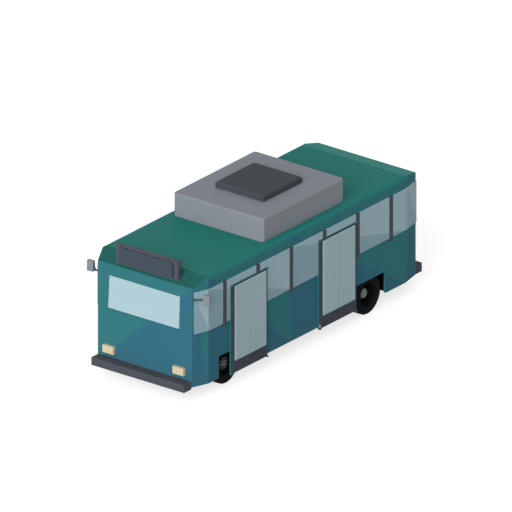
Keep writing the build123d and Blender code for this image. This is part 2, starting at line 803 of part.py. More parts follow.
# Engine, one plain block hung between the rails
with BuildPart() as engine_block:
    block((-rail_inner_x, station(engine_station), engine_low_z),
          (rail_inner_x, station(engine_station + engine_length), engine_top_z))
    chamfer(engine_block.faces().sort_by(Axis.Z)[0].edges(), wall)
finish("engine_block", engine_block)

# Front axle: a dropped beam with a boss and a kingpin at each end
front_axle_y = station(front_axle_station)
rear_axle_y = station(rear_axle_station)
plate_top_z = boss_high_z + turn_gap + knuckle_plate
plate_low_z = boss_low_z - turn_gap - knuckle_plate
beam_high_z = axle_beam_low_z + axle_beam_depth
with BuildPart() as front_axle:
    with BuildSketch(Plane.XZ.offset(-front_axle_y)):
        with BuildLine():
            half = [(axle_drop_x, axle_beam_low_z), (kingpin_x - axle_neck, boss_low_z),
                    (kingpin_x, boss_low_z), (kingpin_x, boss_high_z),
                    (kingpin_x - 2 * axle_boss_radius, boss_high_z), (axle_drop_x - axle_boss_radius, beam_high_z)]
            Polyline(*half, *[(-x, z) for x, z in reversed(half)], close=True)
        make_face()
    extrude(amount=axle_beam_width / 2, both=True)
    for side in (1, -1):
        post((side * kingpin_x, front_axle_y), boss_low_z, boss_high_z, axle_boss_radius)
        post((side * kingpin_x, front_axle_y), plate_low_z, plate_top_z, kingpin_radius)
finish("front_axle", front_axle)

# Knuckles: a yoke round the kingpin, the wheel's spindle and the steering arm with its ball pin
for side, name in ((1, "left_knuckle"), (-1, "right_knuckle")):
    centre = (side * kingpin_x, front_axle_y)
    arm_end = (side * kingpin_x, front_axle_y + steering_arm)
    with BuildPart() as knuckle:
        for low in (plate_low_z, boss_high_z + turn_gap):
            block((side * kingpin_x, front_axle_y - knuckle_plate_radius, low),
                  (side * spindle_x, front_axle_y + knuckle_plate_radius, low + knuckle_plate))
            post(centre, low, low + knuckle_plate, knuckle_plate_radius)
        block((side * web_x, front_axle_y - knuckle_web_width / 2, plate_low_z),
              (side * spindle_x, front_axle_y + knuckle_web_width / 2, plate_top_z))
        block((side * kingpin_x - steering_arm_width / 2, front_axle_y, plate_low_z),
              (side * kingpin_x + steering_arm_width / 2, front_axle_y + steering_arm, plate_low_z + knuckle_plate))
        post(arm_end, plate_low_z, plate_low_z + knuckle_plate, steering_arm_boss_radius)
        post(arm_end, tie_rod_z - tie_rod_eye_height / 2, plate_low_z, ball_pin_radius)
        post(centre, plate_low_z, plate_top_z, kingpin_radius + running_fit, Mode.SUBTRACT)
        with Locations(Location((side * (spindle_x + spindle_length / 2), front_axle_y, axle_z), (0, 90, 0))):
            Cylinder(spindle_radius, spindle_length)
    finish(name, knuckle)

# Tie rod between the two steering arms
tie_rod_y = front_axle_y + steering_arm
eye_low_z = tie_rod_z - tie_rod_eye_height / 2
eye_high_z = tie_rod_z + tie_rod_eye_height / 2
with BuildPart() as tie_rod:
    with Locations(Location((0, tie_rod_y, tie_rod_z), (0, 90, 0))):
        Cylinder(tie_rod_radius, 2 * kingpin_x - 2 * ball_pin_radius)
    for side, gap in ((1, running_fit), (-1, open_pivot_gap)):
        post((side * kingpin_x, tie_rod_y), eye_low_z, eye_high_z, tie_rod_eye_radius)
        post((side * kingpin_x, tie_rod_y), eye_low_z, eye_high_z, ball_pin_radius + gap, Mode.SUBTRACT)
finish("tie_rod", tie_rod)

# Rear axle: a tube with the differential at its middle and a stub for each twin wheel
rear_tube_x = inner_twin_x - tyre_width / 2 - twin_tyre_gap
rear_stub_x = outer_twin_x
with BuildPart(Plane(origin=(0, rear_axle_y, axle_z), x_dir=(0, 1, 0), z_dir=(1, 0, 0))) as rear_axle:
    Cylinder(rear_tube_radius, 2 * rear_tube_x)
    Cylinder(differential_radius, differential_width)
    Cylinder(rear_stub_radius, 2 * rear_stub_x)
finish("rear_axle", rear_axle)

# Springs between the axles and the rails
with BuildPart() as springs:
    for side in (1, -1):
        post((side * rail_x, front_axle_y), beam_high_z, rail_low_z, front_spring_radius)
        post((side * rail_x, rear_axle_y), axle_z + rear_tube_radius, rear_rail_low_z, rear_spring_radius)
finish("springs", springs)


def wheel_plane(side, x, axle_y):
    """Plane at a wheel's middle, its z pointing out of the bus."""
    return Plane(origin=(side * x, axle_y, axle_z), x_dir=(0, 1, 0), z_dir=(side, 0, 0))


def wheel_outline(plane, out, flat_radius):
    """Outline of many short flats about a wheel's axis, one of them at the bottom, this far out of its middle."""
    with BuildSketch(plane.offset(out)) as outline:
        RegularPolygon(flat_radius, wheel_sides, major_radius=False, rotation=180 / wheel_sides)
    return outline.sketch


def slab(plane, low, high, flat_radius, mode=Mode.ADD):
    """Many-sided slab about a wheel's axis, between two distances from the wheel's middle."""
    extrude(wheel_outline(plane, low, flat_radius), amount=high - low, mode=mode)


def disc(plane, low, high, radius, mode=Mode.ADD):
    """Round slab about a wheel's axis, between two distances from the wheel's middle."""
    with Locations(plane * Location((0, 0, (low + high) / 2))):
        Cylinder(radius, high - low, mode=mode)


def tyre_ring(plane):
    """One tyre: flat sides, sloping shoulders and the tread, bored for its rim."""
    half_width = tyre_width / 2
    half_tread = tyre_tread_width / 2
    sections = ((-half_width, tyre_shoulder_radius), (-half_tread, wheel_radius),
                (half_tread, wheel_radius), (half_width, tyre_shoulder_radius))
    loft([wheel_outline(plane, out, radius) for out, radius in sections], ruled=True)
    slab(plane, -half_width, half_width, rim_seat_radius + tyre_seat_gap, Mode.SUBTRACT)


def rim_barrel(plane):
    """The ring that a tyre sits on."""
    slab(plane, -rim_width / 2, rim_width / 2, rim_seat_radius)
    slab(plane, -rim_width / 2, rim_width / 2, rim_seat_radius - rim_wall, Mode.SUBTRACT)


# Wheels: single at the front, twin at the rear
hub_start = spindle_x + turn_gap - front_tyre_x
hub_end = spindle_x + spindle_length + turn_gap + rim_disc - front_tyre_x
twin_middle = (outer_twin_x + inner_twin_x) / 2
for side, hand in ((1, "left"), (-1, "right")):
    front_plane = wheel_plane(side, front_tyre_x, front_axle_y)
    with BuildPart() as front_tyre:
        tyre_ring(front_plane)
    finish(f"front_{hand}_tyre", front_tyre)
    with BuildPart() as front_rim:
        rim_barrel(front_plane)
        slab(front_plane, hub_end - 3 * rim_disc, hub_end - 2 * rim_disc, rim_seat_radius - rim_wall / 2)
        disc(front_plane, hub_start, hub_end, hub_radius)
        disc(front_plane, hub_start, hub_end - rim_disc, spindle_radius + running_fit, Mode.SUBTRACT)
    finish(f"front_{hand}_rim", front_rim)
    outer_plane = wheel_plane(side, outer_twin_x, rear_axle_y)
    inner_plane = wheel_plane(side, inner_twin_x, rear_axle_y)
    with BuildPart() as rear_tyres:
        tyre_ring(outer_plane)
        tyre_ring(inner_plane)
    finish(f"rear_{hand}_tyres", rear_tyres)
    middle_plane = wheel_plane(side, twin_middle, rear_axle_y)
    hub_low = rear_tube_x + turn_gap - twin_middle
    hub_high = rear_stub_x + turn_gap + rim_disc - twin_middle
    with BuildPart() as rear_rims:
        rim_barrel(outer_plane)
        rim_barrel(inner_plane)
        slab(middle_plane, -twin_tyre_gap, twin_tyre_gap, rim_seat_radius - rim_wall / 2)
        disc(middle_plane, hub_low, hub_high, rear_hub_radius)
        disc(middle_plane, hub_low, hub_high - rim_disc, rear_stub_radius + running_fit, Mode.SUBTRACT)
    finish(f"rear_{hand}_rims", rear_rims)

# Driver's console and steering wheel
with BuildPart() as driver_console:
    console_rear = console_station + console_depth
    profile_along_x([(station(console_station), plinth_z), (station(console_station), console_top_z),
                     (station(console_station + console_top_depth), console_top_z),
                     (station(console_rear), console_shelf_z), (station(console_rear), plinth_z)],
                    -plinth_outer_x + console_margin, -plinth_inner_x - console_margin)
finish("driver_console", driver_console)

with BuildPart() as steering_wheel:
    steering_centre = (steering_inset - side_x, station(steering_station))
    post(steering_centre, steering_z, steering_z + steering_rim, steering_wheel_radius)
    post(steering_centre, steering_z, steering_z + steering_rim, steering_wheel_radius - steering_rim, Mode.SUBTRACT)
    block((steering_centre[0] - steering_wheel_radius + steering_rim / 2, steering_centre[1] - steering_rim, steering_z),
          (steering_centre[0] + steering_wheel_radius - steering_rim / 2, steering_centre[1] + steering_rim,
           steering_z + steering_rim / 2))
    post(steering_centre, plinth_z, steering_z + steering_rim / 2, steering_column_radius)
finish("steering_wheel", steering_wheel)


def seat_rows(start, end, pitch):
    """Stations of the seat rows that fit between two stations."""
    count = 1 + int((end - start - seat_pan - seat_rake) // pitch)
    return [start + i * pitch for i in range(count)]


# Seats: a bent shell on a pedestal. Columns: x of the middle, station of the front edge, width, floor height
rear_door_station = doors["rear_door"][0]
right_rows = seat_rows(right_row_station, floor_riser_station, right_row_pitch)
left_rows = seat_rows(front_door_station + front_door_width + left_row_gap, rear_door_station, left_row_pitch)
double_seat_x = inner_x - seat_wall_gap - double_seat / 2
single_seat_x = inner_x - seat_wall_gap - single_seat / 2
seat_table = [(-double_seat_x, row, double_seat, floor_z) for row in right_rows]
seat_table += [(double_seat_x, row, double_seat, floor_z) for row in left_rows]
seat_table += [(-single_seat_x, front_axle_station - driver_seat_lead, single_seat, wheel_box_top_z),
               (-single_seat_x, rear_axle_station - rear_seat_lead, single_seat, wheel_box_top_z),
               (single_seat_x, rear_axle_station - rear_seat_lead, single_seat, wheel_box_top_z),
               (0, body_length - bench_margin, 2 * double_seat, rear_floor_z)]
with BuildPart() as seats:
    for x, start, width, base_z in seat_table:
        height = base_z + (seat_height if base_z < wheel_box_top_z else seat_height / 2)
        y = station(start)
        with BuildSketch(Plane.YZ.offset(x - width / 2)) as shell:
            with BuildLine():
                Polyline((y, height - seat_shell), (y + seat_pan, height - seat_shell),
                         (y + seat_pan + seat_rake, height + seat_back),
                         (y + seat_pan + seat_rake - seat_shell, height + seat_back),
                         (y + seat_pan - seat_shell, height), (y, height), close=True)
            make_face()
            fillet(shell.vertices().sort_by(Axis.X)[2:4], seat_bend)
        extrude(amount=width)
        block((x - seat_leg_width / 2, y + seat_leg_depth, base_z),
              (x + seat_leg_width / 2, y + 2 * seat_leg_depth, height - seat_shell))
finish("seats", seats)

# Grab poles from floor to ceiling, joined by hand rails in clamps. Columns: side and stations
pole_x = double_seat_x - double_seat / 2 - pole_gap
right_poles = [*[row - pole_lead for row in right_rows], floor_riser_station - step_depth - riser_pole_gap]
left_poles = [*[row - pole_lead for row in left_rows], rear_door_station - door_pole_gap]
with BuildPart() as grab_poles:
    for side, stations in ((-1, right_poles), (1, left_poles)):
        for pole_station in stations:
            post((side * pole_x, station(pole_station)), floor_z, ceiling_z, pole_radius)
            with Locations((side * pole_x, station(pole_station), pole_rail_z)):
                Box(2 * pole_radius + 2, pole_clamp, pole_clamp)
        for first, second in zip(stations, stations[1:]):
            middle_y = station((first + second) / 2)
            with Locations(Location((side * pole_x, middle_y, pole_rail_z), (90, 0, 0))):
                Cylinder(pole_radius, second - first)
finish("grab_poles", grab_poles)
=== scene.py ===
# %% [markdown]
# # A short city bus
# This lesson dresses a finished engineering model of a bus. The model is loaded first and stays where it is.
# Every later cell either gives one of its pieces a finish or adds a piece that the model keeps plain.
# Lengths are metres, +X is the bus's own left, +Y its rear and +Z up.

# %% Load the model, with a function for a part's box
import bmesh
import bpy
import math
import numpy as np
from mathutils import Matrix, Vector


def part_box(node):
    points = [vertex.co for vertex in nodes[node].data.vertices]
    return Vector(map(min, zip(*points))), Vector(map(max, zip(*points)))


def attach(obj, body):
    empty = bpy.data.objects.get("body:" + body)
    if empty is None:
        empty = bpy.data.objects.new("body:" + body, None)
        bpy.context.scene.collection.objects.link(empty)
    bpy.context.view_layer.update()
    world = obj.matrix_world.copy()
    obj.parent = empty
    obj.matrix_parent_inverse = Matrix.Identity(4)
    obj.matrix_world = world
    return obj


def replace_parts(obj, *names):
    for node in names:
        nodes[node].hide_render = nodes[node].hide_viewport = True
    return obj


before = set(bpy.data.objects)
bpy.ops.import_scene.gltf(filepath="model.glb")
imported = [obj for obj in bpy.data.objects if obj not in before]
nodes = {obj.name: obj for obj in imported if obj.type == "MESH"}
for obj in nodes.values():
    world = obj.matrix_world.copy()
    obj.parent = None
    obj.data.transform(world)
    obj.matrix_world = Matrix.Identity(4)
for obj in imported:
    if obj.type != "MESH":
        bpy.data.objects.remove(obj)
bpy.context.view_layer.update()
MILLIMETRE = 0.001

# %% [markdown]
# ## The camera
# The picture is drawn in parallel projection: edges that are parallel on the bus stay parallel in it.
# So the camera is orthographic, and its scale is simply how many metres fit across the frame.
# The two angles come from the slopes of the roof edge and of the bumper in the picture.

# %% Camera
VIEW_AZIMUTH = math.radians(37.735)
VIEW_ELEVATION = math.radians(23.32)
FRAME_PIXELS = 512
PIXELS_PER_METRE = 52.0
VIEW_DISTANCE = 40.0
CLIP_END = 4 * VIEW_DISTANCE
AIM = Vector((0.0, 0.0, 1.562))

back = Vector((math.sin(VIEW_AZIMUTH) * math.cos(VIEW_ELEVATION),
               -math.cos(VIEW_AZIMUTH) * math.cos(VIEW_ELEVATION),
               math.sin(VIEW_ELEVATION)))
camera_data = bpy.data.cameras.new("view")
camera_data.type = "ORTHO"
camera_data.ortho_scale = FRAME_PIXELS / PIXELS_PER_METRE
camera_data.clip_end = CLIP_END
camera = bpy.data.objects.new("view", camera_data)
camera.location = AIM + back * VIEW_DISTANCE
camera.rotation_euler = back.to_track_quat("Z", "Y").to_euler()
bpy.context.scene.collection.objects.link(camera)
bpy.context.scene.camera = camera
print("camera sees", round(camera_data.ortho_scale, 3), "m across")

# %% [markdown]
# ## Colours and nodes
# Colours are written as they look on a screen, in sRGB. Shaders want linear light, so one function converts.
# A second small function adds a shader node, sets it up and links its inputs, and every finish uses it.

# %% Colour and node helpers


def linear(hex_colour):
    """Screen colour such as #387b81 to linear RGBA: the sRGB curve undone for each channel."""
    screen = np.array([int(hex_colour[i:i + 2], 16) for i in (1, 3, 5)]) / 255
    light = np.where(screen <= 0.04045, screen / 12.92, ((screen + 0.055) / 1.055) ** 2.4)
    return (*[float(value) for value in light], 1.0)


def add(tree, kind, inputs=None, **settings):
    """Add one node. Settings go on the node, and each input takes a value or another node's output."""
    made = tree.nodes.new("ShaderNode" + kind)
    for name, value in settings.items():
        setattr(made, name, value)
    for name, value in (inputs or {}).items():
        if isinstance(value, bpy.types.NodeSocket):
            tree.links.new(value, made.inputs[name])
        else:
            made.inputs[name].default_value = value
    return made


def new_tree(name):
    """An empty material: its node tree and the Object coordinates that its patterns read."""
    material = bpy.data.materials.new(name)
    material.use_nodes = True
    material.node_tree.nodes.clear()
    place = add(material.node_tree, "TexCoord").outputs["Object"]
    return material, material.node_tree, place


def close(tree, shader):
    """Send a finished shader to the material's surface."""
    add(tree, "OutputMaterial", {"Surface": shader.outputs[0]})


def dress(material, *names):
    """Give CAD pieces a finish by putting it in their material slots."""
    for name in names:
        for slot in nodes[name].material_slots:
            slot.material = material
    print(material.name, "on", len(names), "pieces")


print("screen grey #808080 is", round(linear("#808080")[0], 3), "in linear light")

# %% [markdown]
# ## The livery
# The walls are teal and blue, and the two tones meet along slanting lines. The lines could be cut into
# the panels, but paint has no thickness, so each blue area is described as a place: the space on one side
# of a few planes. A plane is a dot product and a limit. The tests of a row of planes, multiplied together,
# make one area, and the areas are united.

# %% Where the livery is blue
FRONT_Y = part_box("front_wall")[0][1]
SIDE_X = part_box("left_wall")[1][0]
SKIRT_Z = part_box("left_wall")[0][2]
GLASS_LOW_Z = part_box("side_glazing")[0][2]
GLASS_HIGH_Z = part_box("side_glazing")[1][2]
# The corner facets take this much from each side of the front
FACET_INSET = 0.130
FRONT_HALF = SIDE_X - FACET_INSET
FRONT_TOP_Z = 2.361
WAIST_Z = 1.60
CANTRAIL_Z = 2.20
# On a facet the line runs from the first distance from the bus's middle, at the skirt,
# to the second, at the foot of the glass
FACET_LOW_Y = 3.138
FACET_HIGH_Y = 3.321
REAR_FACET_BLUE_END = 3.400
# How far inside a wall's face its planes lie
SKIN = 0.0005

# Columns: first and last distance behind the front face, height of the line at the first, its fall
# per metre, and whether the area lies above the windows or below them
SIDE_AREAS = (
    (0.300, 1.100, 2.000, 0.000, False),
    (1.100, 2.929, 1.868, 0.853, False),
    (2.929, 4.300, 2.000, 0.000, False),
    (4.300, 6.700, 1.683, 0.620, False),
    (0.352, 1.600, 2.538, 0.859, True),
    (2.948, 4.200, 2.538, 0.614, True),
)


def strip_planes(first, last, height, fall):
    """Planes of a strip of a side: behind first, ahead of last and below a line that falls to the rear."""
    return [("place", (0, 1, 0), FRONT_Y + first), ("place", (0, -1, 0), -FRONT_Y - last),
            ("place", (0, -fall, -1), -height - fall * (FRONT_Y + first))]


def blue_planes():
    """Every blue area as a row of planes: the coordinates to read, the plane's normal and least distance.

    Folded coordinates have no sign, so that one plane serves the left and right, or the front and rear.
    """
    areas = []
    for first, last, height, fall, above in SIDE_AREAS:
        band = ("place", (0, 0, 1), CANTRAIL_Z) if above else ("place", (0, 0, -1), -WAIST_Z)
        areas.append([("folded", (1, 0, 0), SIDE_X - SKIN), band, *strip_planes(first, last, height, fall)])
    rise = (FRONT_TOP_Z - SKIRT_Z) / (2 * FRONT_HALF)
    areas.append([("folded", (0, 1, 0), -FRONT_Y - SKIN),
                  ("place", (rise, 0, -1), -rise * FRONT_HALF - SKIRT_Z)])
    slant = (FACET_HIGH_Y - FACET_LOW_Y) / (GLASS_LOW_Z - SKIRT_Z)
    on_facet = [("folded", (-1, 0, 0), SKIN - SIDE_X), ("folded", (0, -1, 0), FRONT_Y + SKIN),
                ("place", (0, 0, -1), -WAIST_Z)]
    areas.append(on_facet + [("place", (0, -1, -slant), FACET_LOW_Y - slant * SKIRT_Z)])
    areas.append(on_facet + [("place", (0, 1, 0), FACET_LOW_Y), ("place", (0, -1, 0), -REAR_FACET_BLUE_END)])
    return areas


def area_share(tree, place, areas):
    """1 inside any of the areas, else 0: the largest, over the areas, of the product of plane tests."""
    folded = add(tree, "VectorMath", {0: place}, operation="ABSOLUTE").outputs[0]
    points = {"place": place, "folded": folded}
    share = 0.0
    for area in areas:
        inside = 1.0
        for coordinates, normal, least in area:
            reach = add(tree, "VectorMath", {0: points[coordinates], 1: normal}, operation="DOT_PRODUCT")
            passed = add(tree, "Math", {0: reach.outputs["Value"], 1: least}, operation="GREATER_THAN")
            inside = add(tree, "Math", {0: passed.outputs[0], 1: inside}, operation="MULTIPLY").outputs[0]
        share = add(tree, "Math", {0: inside, 1: share}, operation="MAXIMUM").outputs[0]
    return share


print("livery has", len(blue_planes()), "blue areas")

# %% [markdown]
# ## Coach paint
# The body is sheet metal under two-pack polyurethane, sprayed and left semi-matt. It gives the eye a full,
# even colour with a soft sheen, a faint orange peel from the spray gun, and a film of road dust along the
# skirt. The roof is green, with painted shade on its front slope and painted light on its rear slope.

# %% Coach paint
TEAL = "#347479"
BLUE = "#346a7d"
ROOF_GREEN = "#2a7a72"
# The slope greens are painted shade and light: the one roof green made darker where a face tilts forwards,
# paler where it tilts back
FRONT_SLOPE_PAINTED_SHADE_GREEN = "#255f59"
REAR_SLOPE_PAINTED_LIGHT_GREEN = "#2e887f"
# Least parts of a face's normal: upwards on the roof, forwards on its front slope, backwards on its rear one
UPWARD = 0.45
FRONT_SLOPE_TILT = 0.30
REAR_SLOPE_TILT = 0.15
ROAD_DUST = "#6b675f"
DUST_CLOUD_MM = 330
DUST_OCTAVES = 6.0
DUST_HEIGHT = 0.45
DUST_AT_SKIRT = 0.14
ROUGHEST_DUST = 0.1
PEEL_MM = 9
PEEL_OCTAVES = 1.0
PEEL_STRENGTH = 0.05
PEEL_DEPTH_MM = 0.6
PAINT_ROUGHNESS = 0.46
DUSTY_ROUGHNESS = 0.75
PAINT_SPECULAR = 0.012
COAT_WEIGHT = 0.02
COAT_ROUGHNESS = 0.25


def roof_colour_with_painted_slope_light(tree, walls):
    """The walls' colour, or green where a face looks up, with painted shade on its front slope and light on
    its rear.
    """
    normal = add(tree, "SeparateXYZ", {0: add(tree, "NewGeometry").outputs["Normal"]}).outputs
    # Masks for the painted shade on the front slope and the painted light on the rear slope
    ahead = add(tree, "Math", {0: normal["Y"], 1: -FRONT_SLOPE_TILT}, operation="LESS_THAN").outputs[0]
    behind = add(tree, "Math", {0: normal["Y"], 1: REAR_SLOPE_TILT}, operation="GREATER_THAN").outputs[0]
    upward = add(tree, "Math", {0: normal["Z"], 1: UPWARD}, operation="GREATER_THAN").outputs[0]
    green = linear(ROOF_GREEN)
    for share, tone in ((ahead, FRONT_SLOPE_PAINTED_SHADE_GREEN), (behind, REAR_SLOPE_PAINTED_LIGHT_GREEN)):
        green = add(tree, "Mix", {0: share, 6: green, 7: linear(tone)}, data_type="RGBA").outputs[2]
    return add(tree, "Mix", {0: upward, 6: walls, 7: green}, data_type="RGBA").outputs[2]


def coach_paint(name, roof):
    """Sprayed paint: the livery's colours by place, dust that fades with height, orange peel in the bump."""
    material, tree, place = new_tree(name)
    blue = area_share(tree, place, blue_planes())
    colour = add(tree, "Mix", {0: blue, 6: linear(TEAL), 7: linear(BLUE)}, data_type="RGBA").outputs[2]
    if roof:
        colour = roof_colour_with_painted_slope_light(tree, colour)
    cloud = add(tree, "TexNoise", {"Vector": place, "Scale": 1 / (DUST_CLOUD_MM * MILLIMETRE),
                                   "Detail": DUST_OCTAVES}).outputs[0]
    height = add(tree, "SeparateXYZ", {0: place}).outputs["Z"]
    band = add(tree, "MapRange", {0: height, 1: SKIRT_Z, 2: SKIRT_Z + DUST_HEIGHT,
                                  3: DUST_AT_SKIRT, 4: 0.0}).outputs[0]
    dust = add(tree, "Math", {0: cloud, 1: band}, operation="MULTIPLY").outputs[0]
    colour = add(tree, "Mix", {0: dust, 6: colour, 7: linear(ROAD_DUST)}, data_type="RGBA").outputs[2]
    peel = add(tree, "TexNoise", {"Vector": place, "Scale": 1 / (PEEL_MM * MILLIMETRE),
                                  "Detail": PEEL_OCTAVES}).outputs[0]
    bump = add(tree, "Bump", {"Height": peel, "Strength": PEEL_STRENGTH,
                              "Distance": PEEL_DEPTH_MM * MILLIMETRE}).outputs[0]
    rough = add(tree, "MapRange", {0: dust, 1: 0.0, 2: ROUGHEST_DUST,
                                   3: PAINT_ROUGHNESS, 4: DUSTY_ROUGHNESS}).outputs[0]
    close(tree, add(tree, "BsdfPrincipled", {"Base Color": colour, "Roughness": rough, "Normal": bump,
                                            "Specular IOR Level": PAINT_SPECULAR, "Coat Weight": COAT_WEIGHT,
                                            "Coat Roughness": COAT_ROUGHNESS}))
    return material


dress(coach_paint("coach_paint_two_tone", roof=False), "front_wall", "rear_wall", "left_wall", "right_wall")
dress(coach_paint("coach_paint_roof_with_painted_slope_light", roof=True), "roof")

# %% [markdown]
# ## Plain plastics, paints and metals
# Bumpers, trim, housings and shells are moulded: one colour, a grain pressed in by the mould, a slow mottle
# where they have weathered paler, and edges rubbed paler still. Chassis parts are painted or cast. They
# differ in colour, grain and gloss only, so one function makes them all from a row of a table, with
# a comment on the real finish. An edge is found by rounding the normals there: where the rounded normal
# leaves the true one, the edge is near.

# %% Moulded and painted finishes
MOTTLE_MM = 450
MOTTLE_OCTAVES = 8.0
MOTTLE_ROUGHNESS = 0.62
MOTTLE_START = 0.42
MOTTLE_FULL = 0.75
MOTTLE_SHARE = 0.40
# A rubbed edge is about 5 mm wide, and is drawn wider so that it shows in the picture
EDGE_MM = 14
EDGE_SHARE = 0.80
EDGE_SAMPLES = 4
# How well the rounded normal agrees with the true one where the edge is fully worn, and where it isn't
EDGE_FULL = 0.85
EDGE_NONE = 0.99
GRAIN_OCTAVES = 3.0
GRAIN_STRENGTH = 0.5
# The roughness goes from a little under its value to a little over it as the mottle goes from low to high
MOTTLE_LOW = 0.3
MOTTLE_HIGH = 0.8
SMOOTHER_BY = 0.06
ROUGHER_BY = 0.10


def moulded(name, colour, worn, grain_mm, depth_mm, roughness, gloss, metallic=0.0):
    """A moulded or painted surface: grain in the bump, a slow mottle and edges towards the worn colour."""
    material, tree, place = new_tree(name)
    cloud = add(tree, "TexNoise", {"Vector": place, "Scale": 1 / (MOTTLE_MM * MILLIMETRE),
                                   "Detail": MOTTLE_OCTAVES, "Roughness": MOTTLE_ROUGHNESS}).outputs[0]
    mottle = add(tree, "MapRange", {0: cloud, 1: MOTTLE_START, 2: MOTTLE_FULL,
                                    3: 0.0, 4: MOTTLE_SHARE}).outputs[0]
    rounded = add(tree, "Bevel", {"Radius": EDGE_MM * MILLIMETRE}, samples=EDGE_SAMPLES).outputs[0]
    true_normal = add(tree, "NewGeometry").outputs["Normal"]
    agree = add(tree, "VectorMath", {0: rounded, 1: true_normal}, operation="DOT_PRODUCT").outputs["Value"]
    edge = add(tree, "MapRange", {0: agree, 1: EDGE_FULL, 2: EDGE_NONE, 3: EDGE_SHARE, 4: 0.0}).outputs[0]
    share = add(tree, "Math", {0: mottle, 1: edge}, operation="MAXIMUM").outputs[0]
    tone = add(tree, "Mix", {0: share, 6: linear(colour), 7: linear(worn)}, data_type="RGBA").outputs[2]
    grain = add(tree, "TexNoise", {"Vector": place, "Scale": 1 / (grain_mm * MILLIMETRE),
                                   "Detail": GRAIN_OCTAVES}).outputs[0]
    bump = add(tree, "Bump", {"Height": grain, "Strength": GRAIN_STRENGTH,
                              "Distance": depth_mm * MILLIMETRE}).outputs[0]
    rough = add(tree, "MapRange", {0: cloud, 1: MOTTLE_LOW, 2: MOTTLE_HIGH,
                                   3: roughness - SMOOTHER_BY, 4: roughness + ROUGHER_BY}).outputs[0]
    close(tree, add(tree, "BsdfPrincipled", {"Base Color": tone, "Roughness": rough, "Normal": bump,
                                            "Specular IOR Level": gloss, "Metallic": metallic}))
    return material


LEAVES = [f"{door}_door_{hand}_leaf" for door in ("front", "rear") for hand in ("front", "rear")]
PANES = [leaf.replace("leaf", "pane") for leaf in LEAVES]

# Columns: finish, colour, worn colour, grain in mm, its depth in mm, roughness, specular level, pieces
moulded_table = (
    # Sprayed steel door frame: the roof's green, smooth, with a soft sheen
    ("door_frame_sprayed_steel", "#30746e", "#35807a", 9, 0.10, 0.50, 0.03, ["door_surrounds"]),
    # Extruded black rubber trim: a dull charcoal with no highlight
    ("pillar_extruded_rubber", "#4c5158", "#52575e", 6, 0.15, 0.65, 0.03, ["window_pillars", "mirror_arms"]),
    # Powder-coated aluminium leaf: charcoal with a fine even texture
    ("leaf_powder_coat", "#464951", "#4a4d55", 6, 0.12, 0.60, 0.03, LEAVES),
    # Moulded polypropylene: charcoal, coarse grain, scuffed paler in patches
    ("bumper_moulded_polypropylene", "#494e54", "#555a61", 7, 0.40, 0.65, 0.05,
     ["front_bumper", "rear_bumper"]),
    # Moulded ABS housing: mid charcoal with a satin face
    ("sign_housing_abs", "#50545c", "#585c64", 7, 0.20, 0.55, 0.05, ["sign_frame"]),
    # Blank acrylic face: smooth, dark slate, a little glossier than its housing
    ("sign_blank_acrylic", "#424c56", "#47515f", 30, 0.02, 0.35, 0.04, ["sign_panel", "rear_sign"]),
    # Glass-fibre gelcoat: light grey, a faint print of the fibre mat under the gloss
    ("roof_unit_gelcoat", "#868b92", "#8e939a", 14, 0.30, 0.55, 0.05, ["roof_unit"]),
    # Rotationally moulded polyethylene: dark grey and slightly waxy
    ("roof_hatch_polyethylene", "#454a50", "#4c5158", 9, 0.30, 0.60, 0.04, ["roof_hatch"]),
    # Moulded ABS mirror shell: light grey and smooth
    ("mirror_shell_abs", "#848a91", "#8c9299", 8, 0.10, 0.45, 0.08, ["mirror_heads"]),
    # Chassis paint: black, dulled by road film that has dried brown
    ("chassis_black_paint", "#1d1e21", "#33312e", 12, 0.30, 0.70, 0.08, ["chassis_rails", "crossmembers"]),
    # Forged steel under thin black paint: scale shows through as a warm grey
    ("axle_forged_steel", "#2b2c2f", "#453f38", 10, 0.50, 0.60, 0.10,
     ["front_axle", "rear_axle", "left_knuckle", "right_knuckle", "tie_rod"]),
    # Sand-cast iron: rough grey skin with oil stains
    ("engine_cast_iron", "#3c3c3e", "#4f4a44", 8, 0.80, 0.70, 0.10, ["engine_block"]),
    # Sprayed bitumen underseal: lumpy, and darker than real underseal as painted shade, so that the arch
    # reads as a hole
    ("wheel_box_underseal_and_painted_shade", "#08090b", "#0d0e10", 10, 0.80, 0.95, 0.00, ["wheel_boxes"]),
    # Vinyl flooring: slate grey with a gritty speckle
    ("floor_speckled_vinyl", "#4a4d52", "#5d6166", 5, 0.20, 0.65, 0.06,
     ["floor_deck", "rear_floor", "floor_risers"]),
    # Moulded polypropylene seat shell: blue-grey, rubbed paler where people sit
    ("seat_moulded_shell", "#2d4a57", "#35596a", 7, 0.20, 0.55, 0.08, ["seats"]),
    # Grained dashboard plastic: near black, non-reflecting
    ("console_grained_plastic", "#26282b", "#303236", 5, 0.30, 0.70, 0.05,
     ["driver_console", "steering_wheel"]),
)
for finish, colour, worn, grain_mm, depth_mm, roughness, gloss, pieces in moulded_table:
    dress(moulded(finish, colour, worn, grain_mm, depth_mm, roughness, gloss), *pieces)

# Brushed stainless tube: a bright grey metal whose fine brushing blurs what it mirrors
dress(moulded("pole_brushed_steel", "#a9a9a6", "#b9b9b6", 1.5, 0.05, 0.32, 0.5, metallic=1.0), "grab_poles")

# %% [markdown]
# ## Window glass
# The panes are flat tinted safety glass. In the picture they look almost opaque: a pale blue-grey that hides
# the cabin. Clear glass would show the seats, so the tint is strong and only a little of the light passes.
# The side panes carry a painted reflection, a deeper tone below slanting lines, and planes like those of
# the livery describe that too.

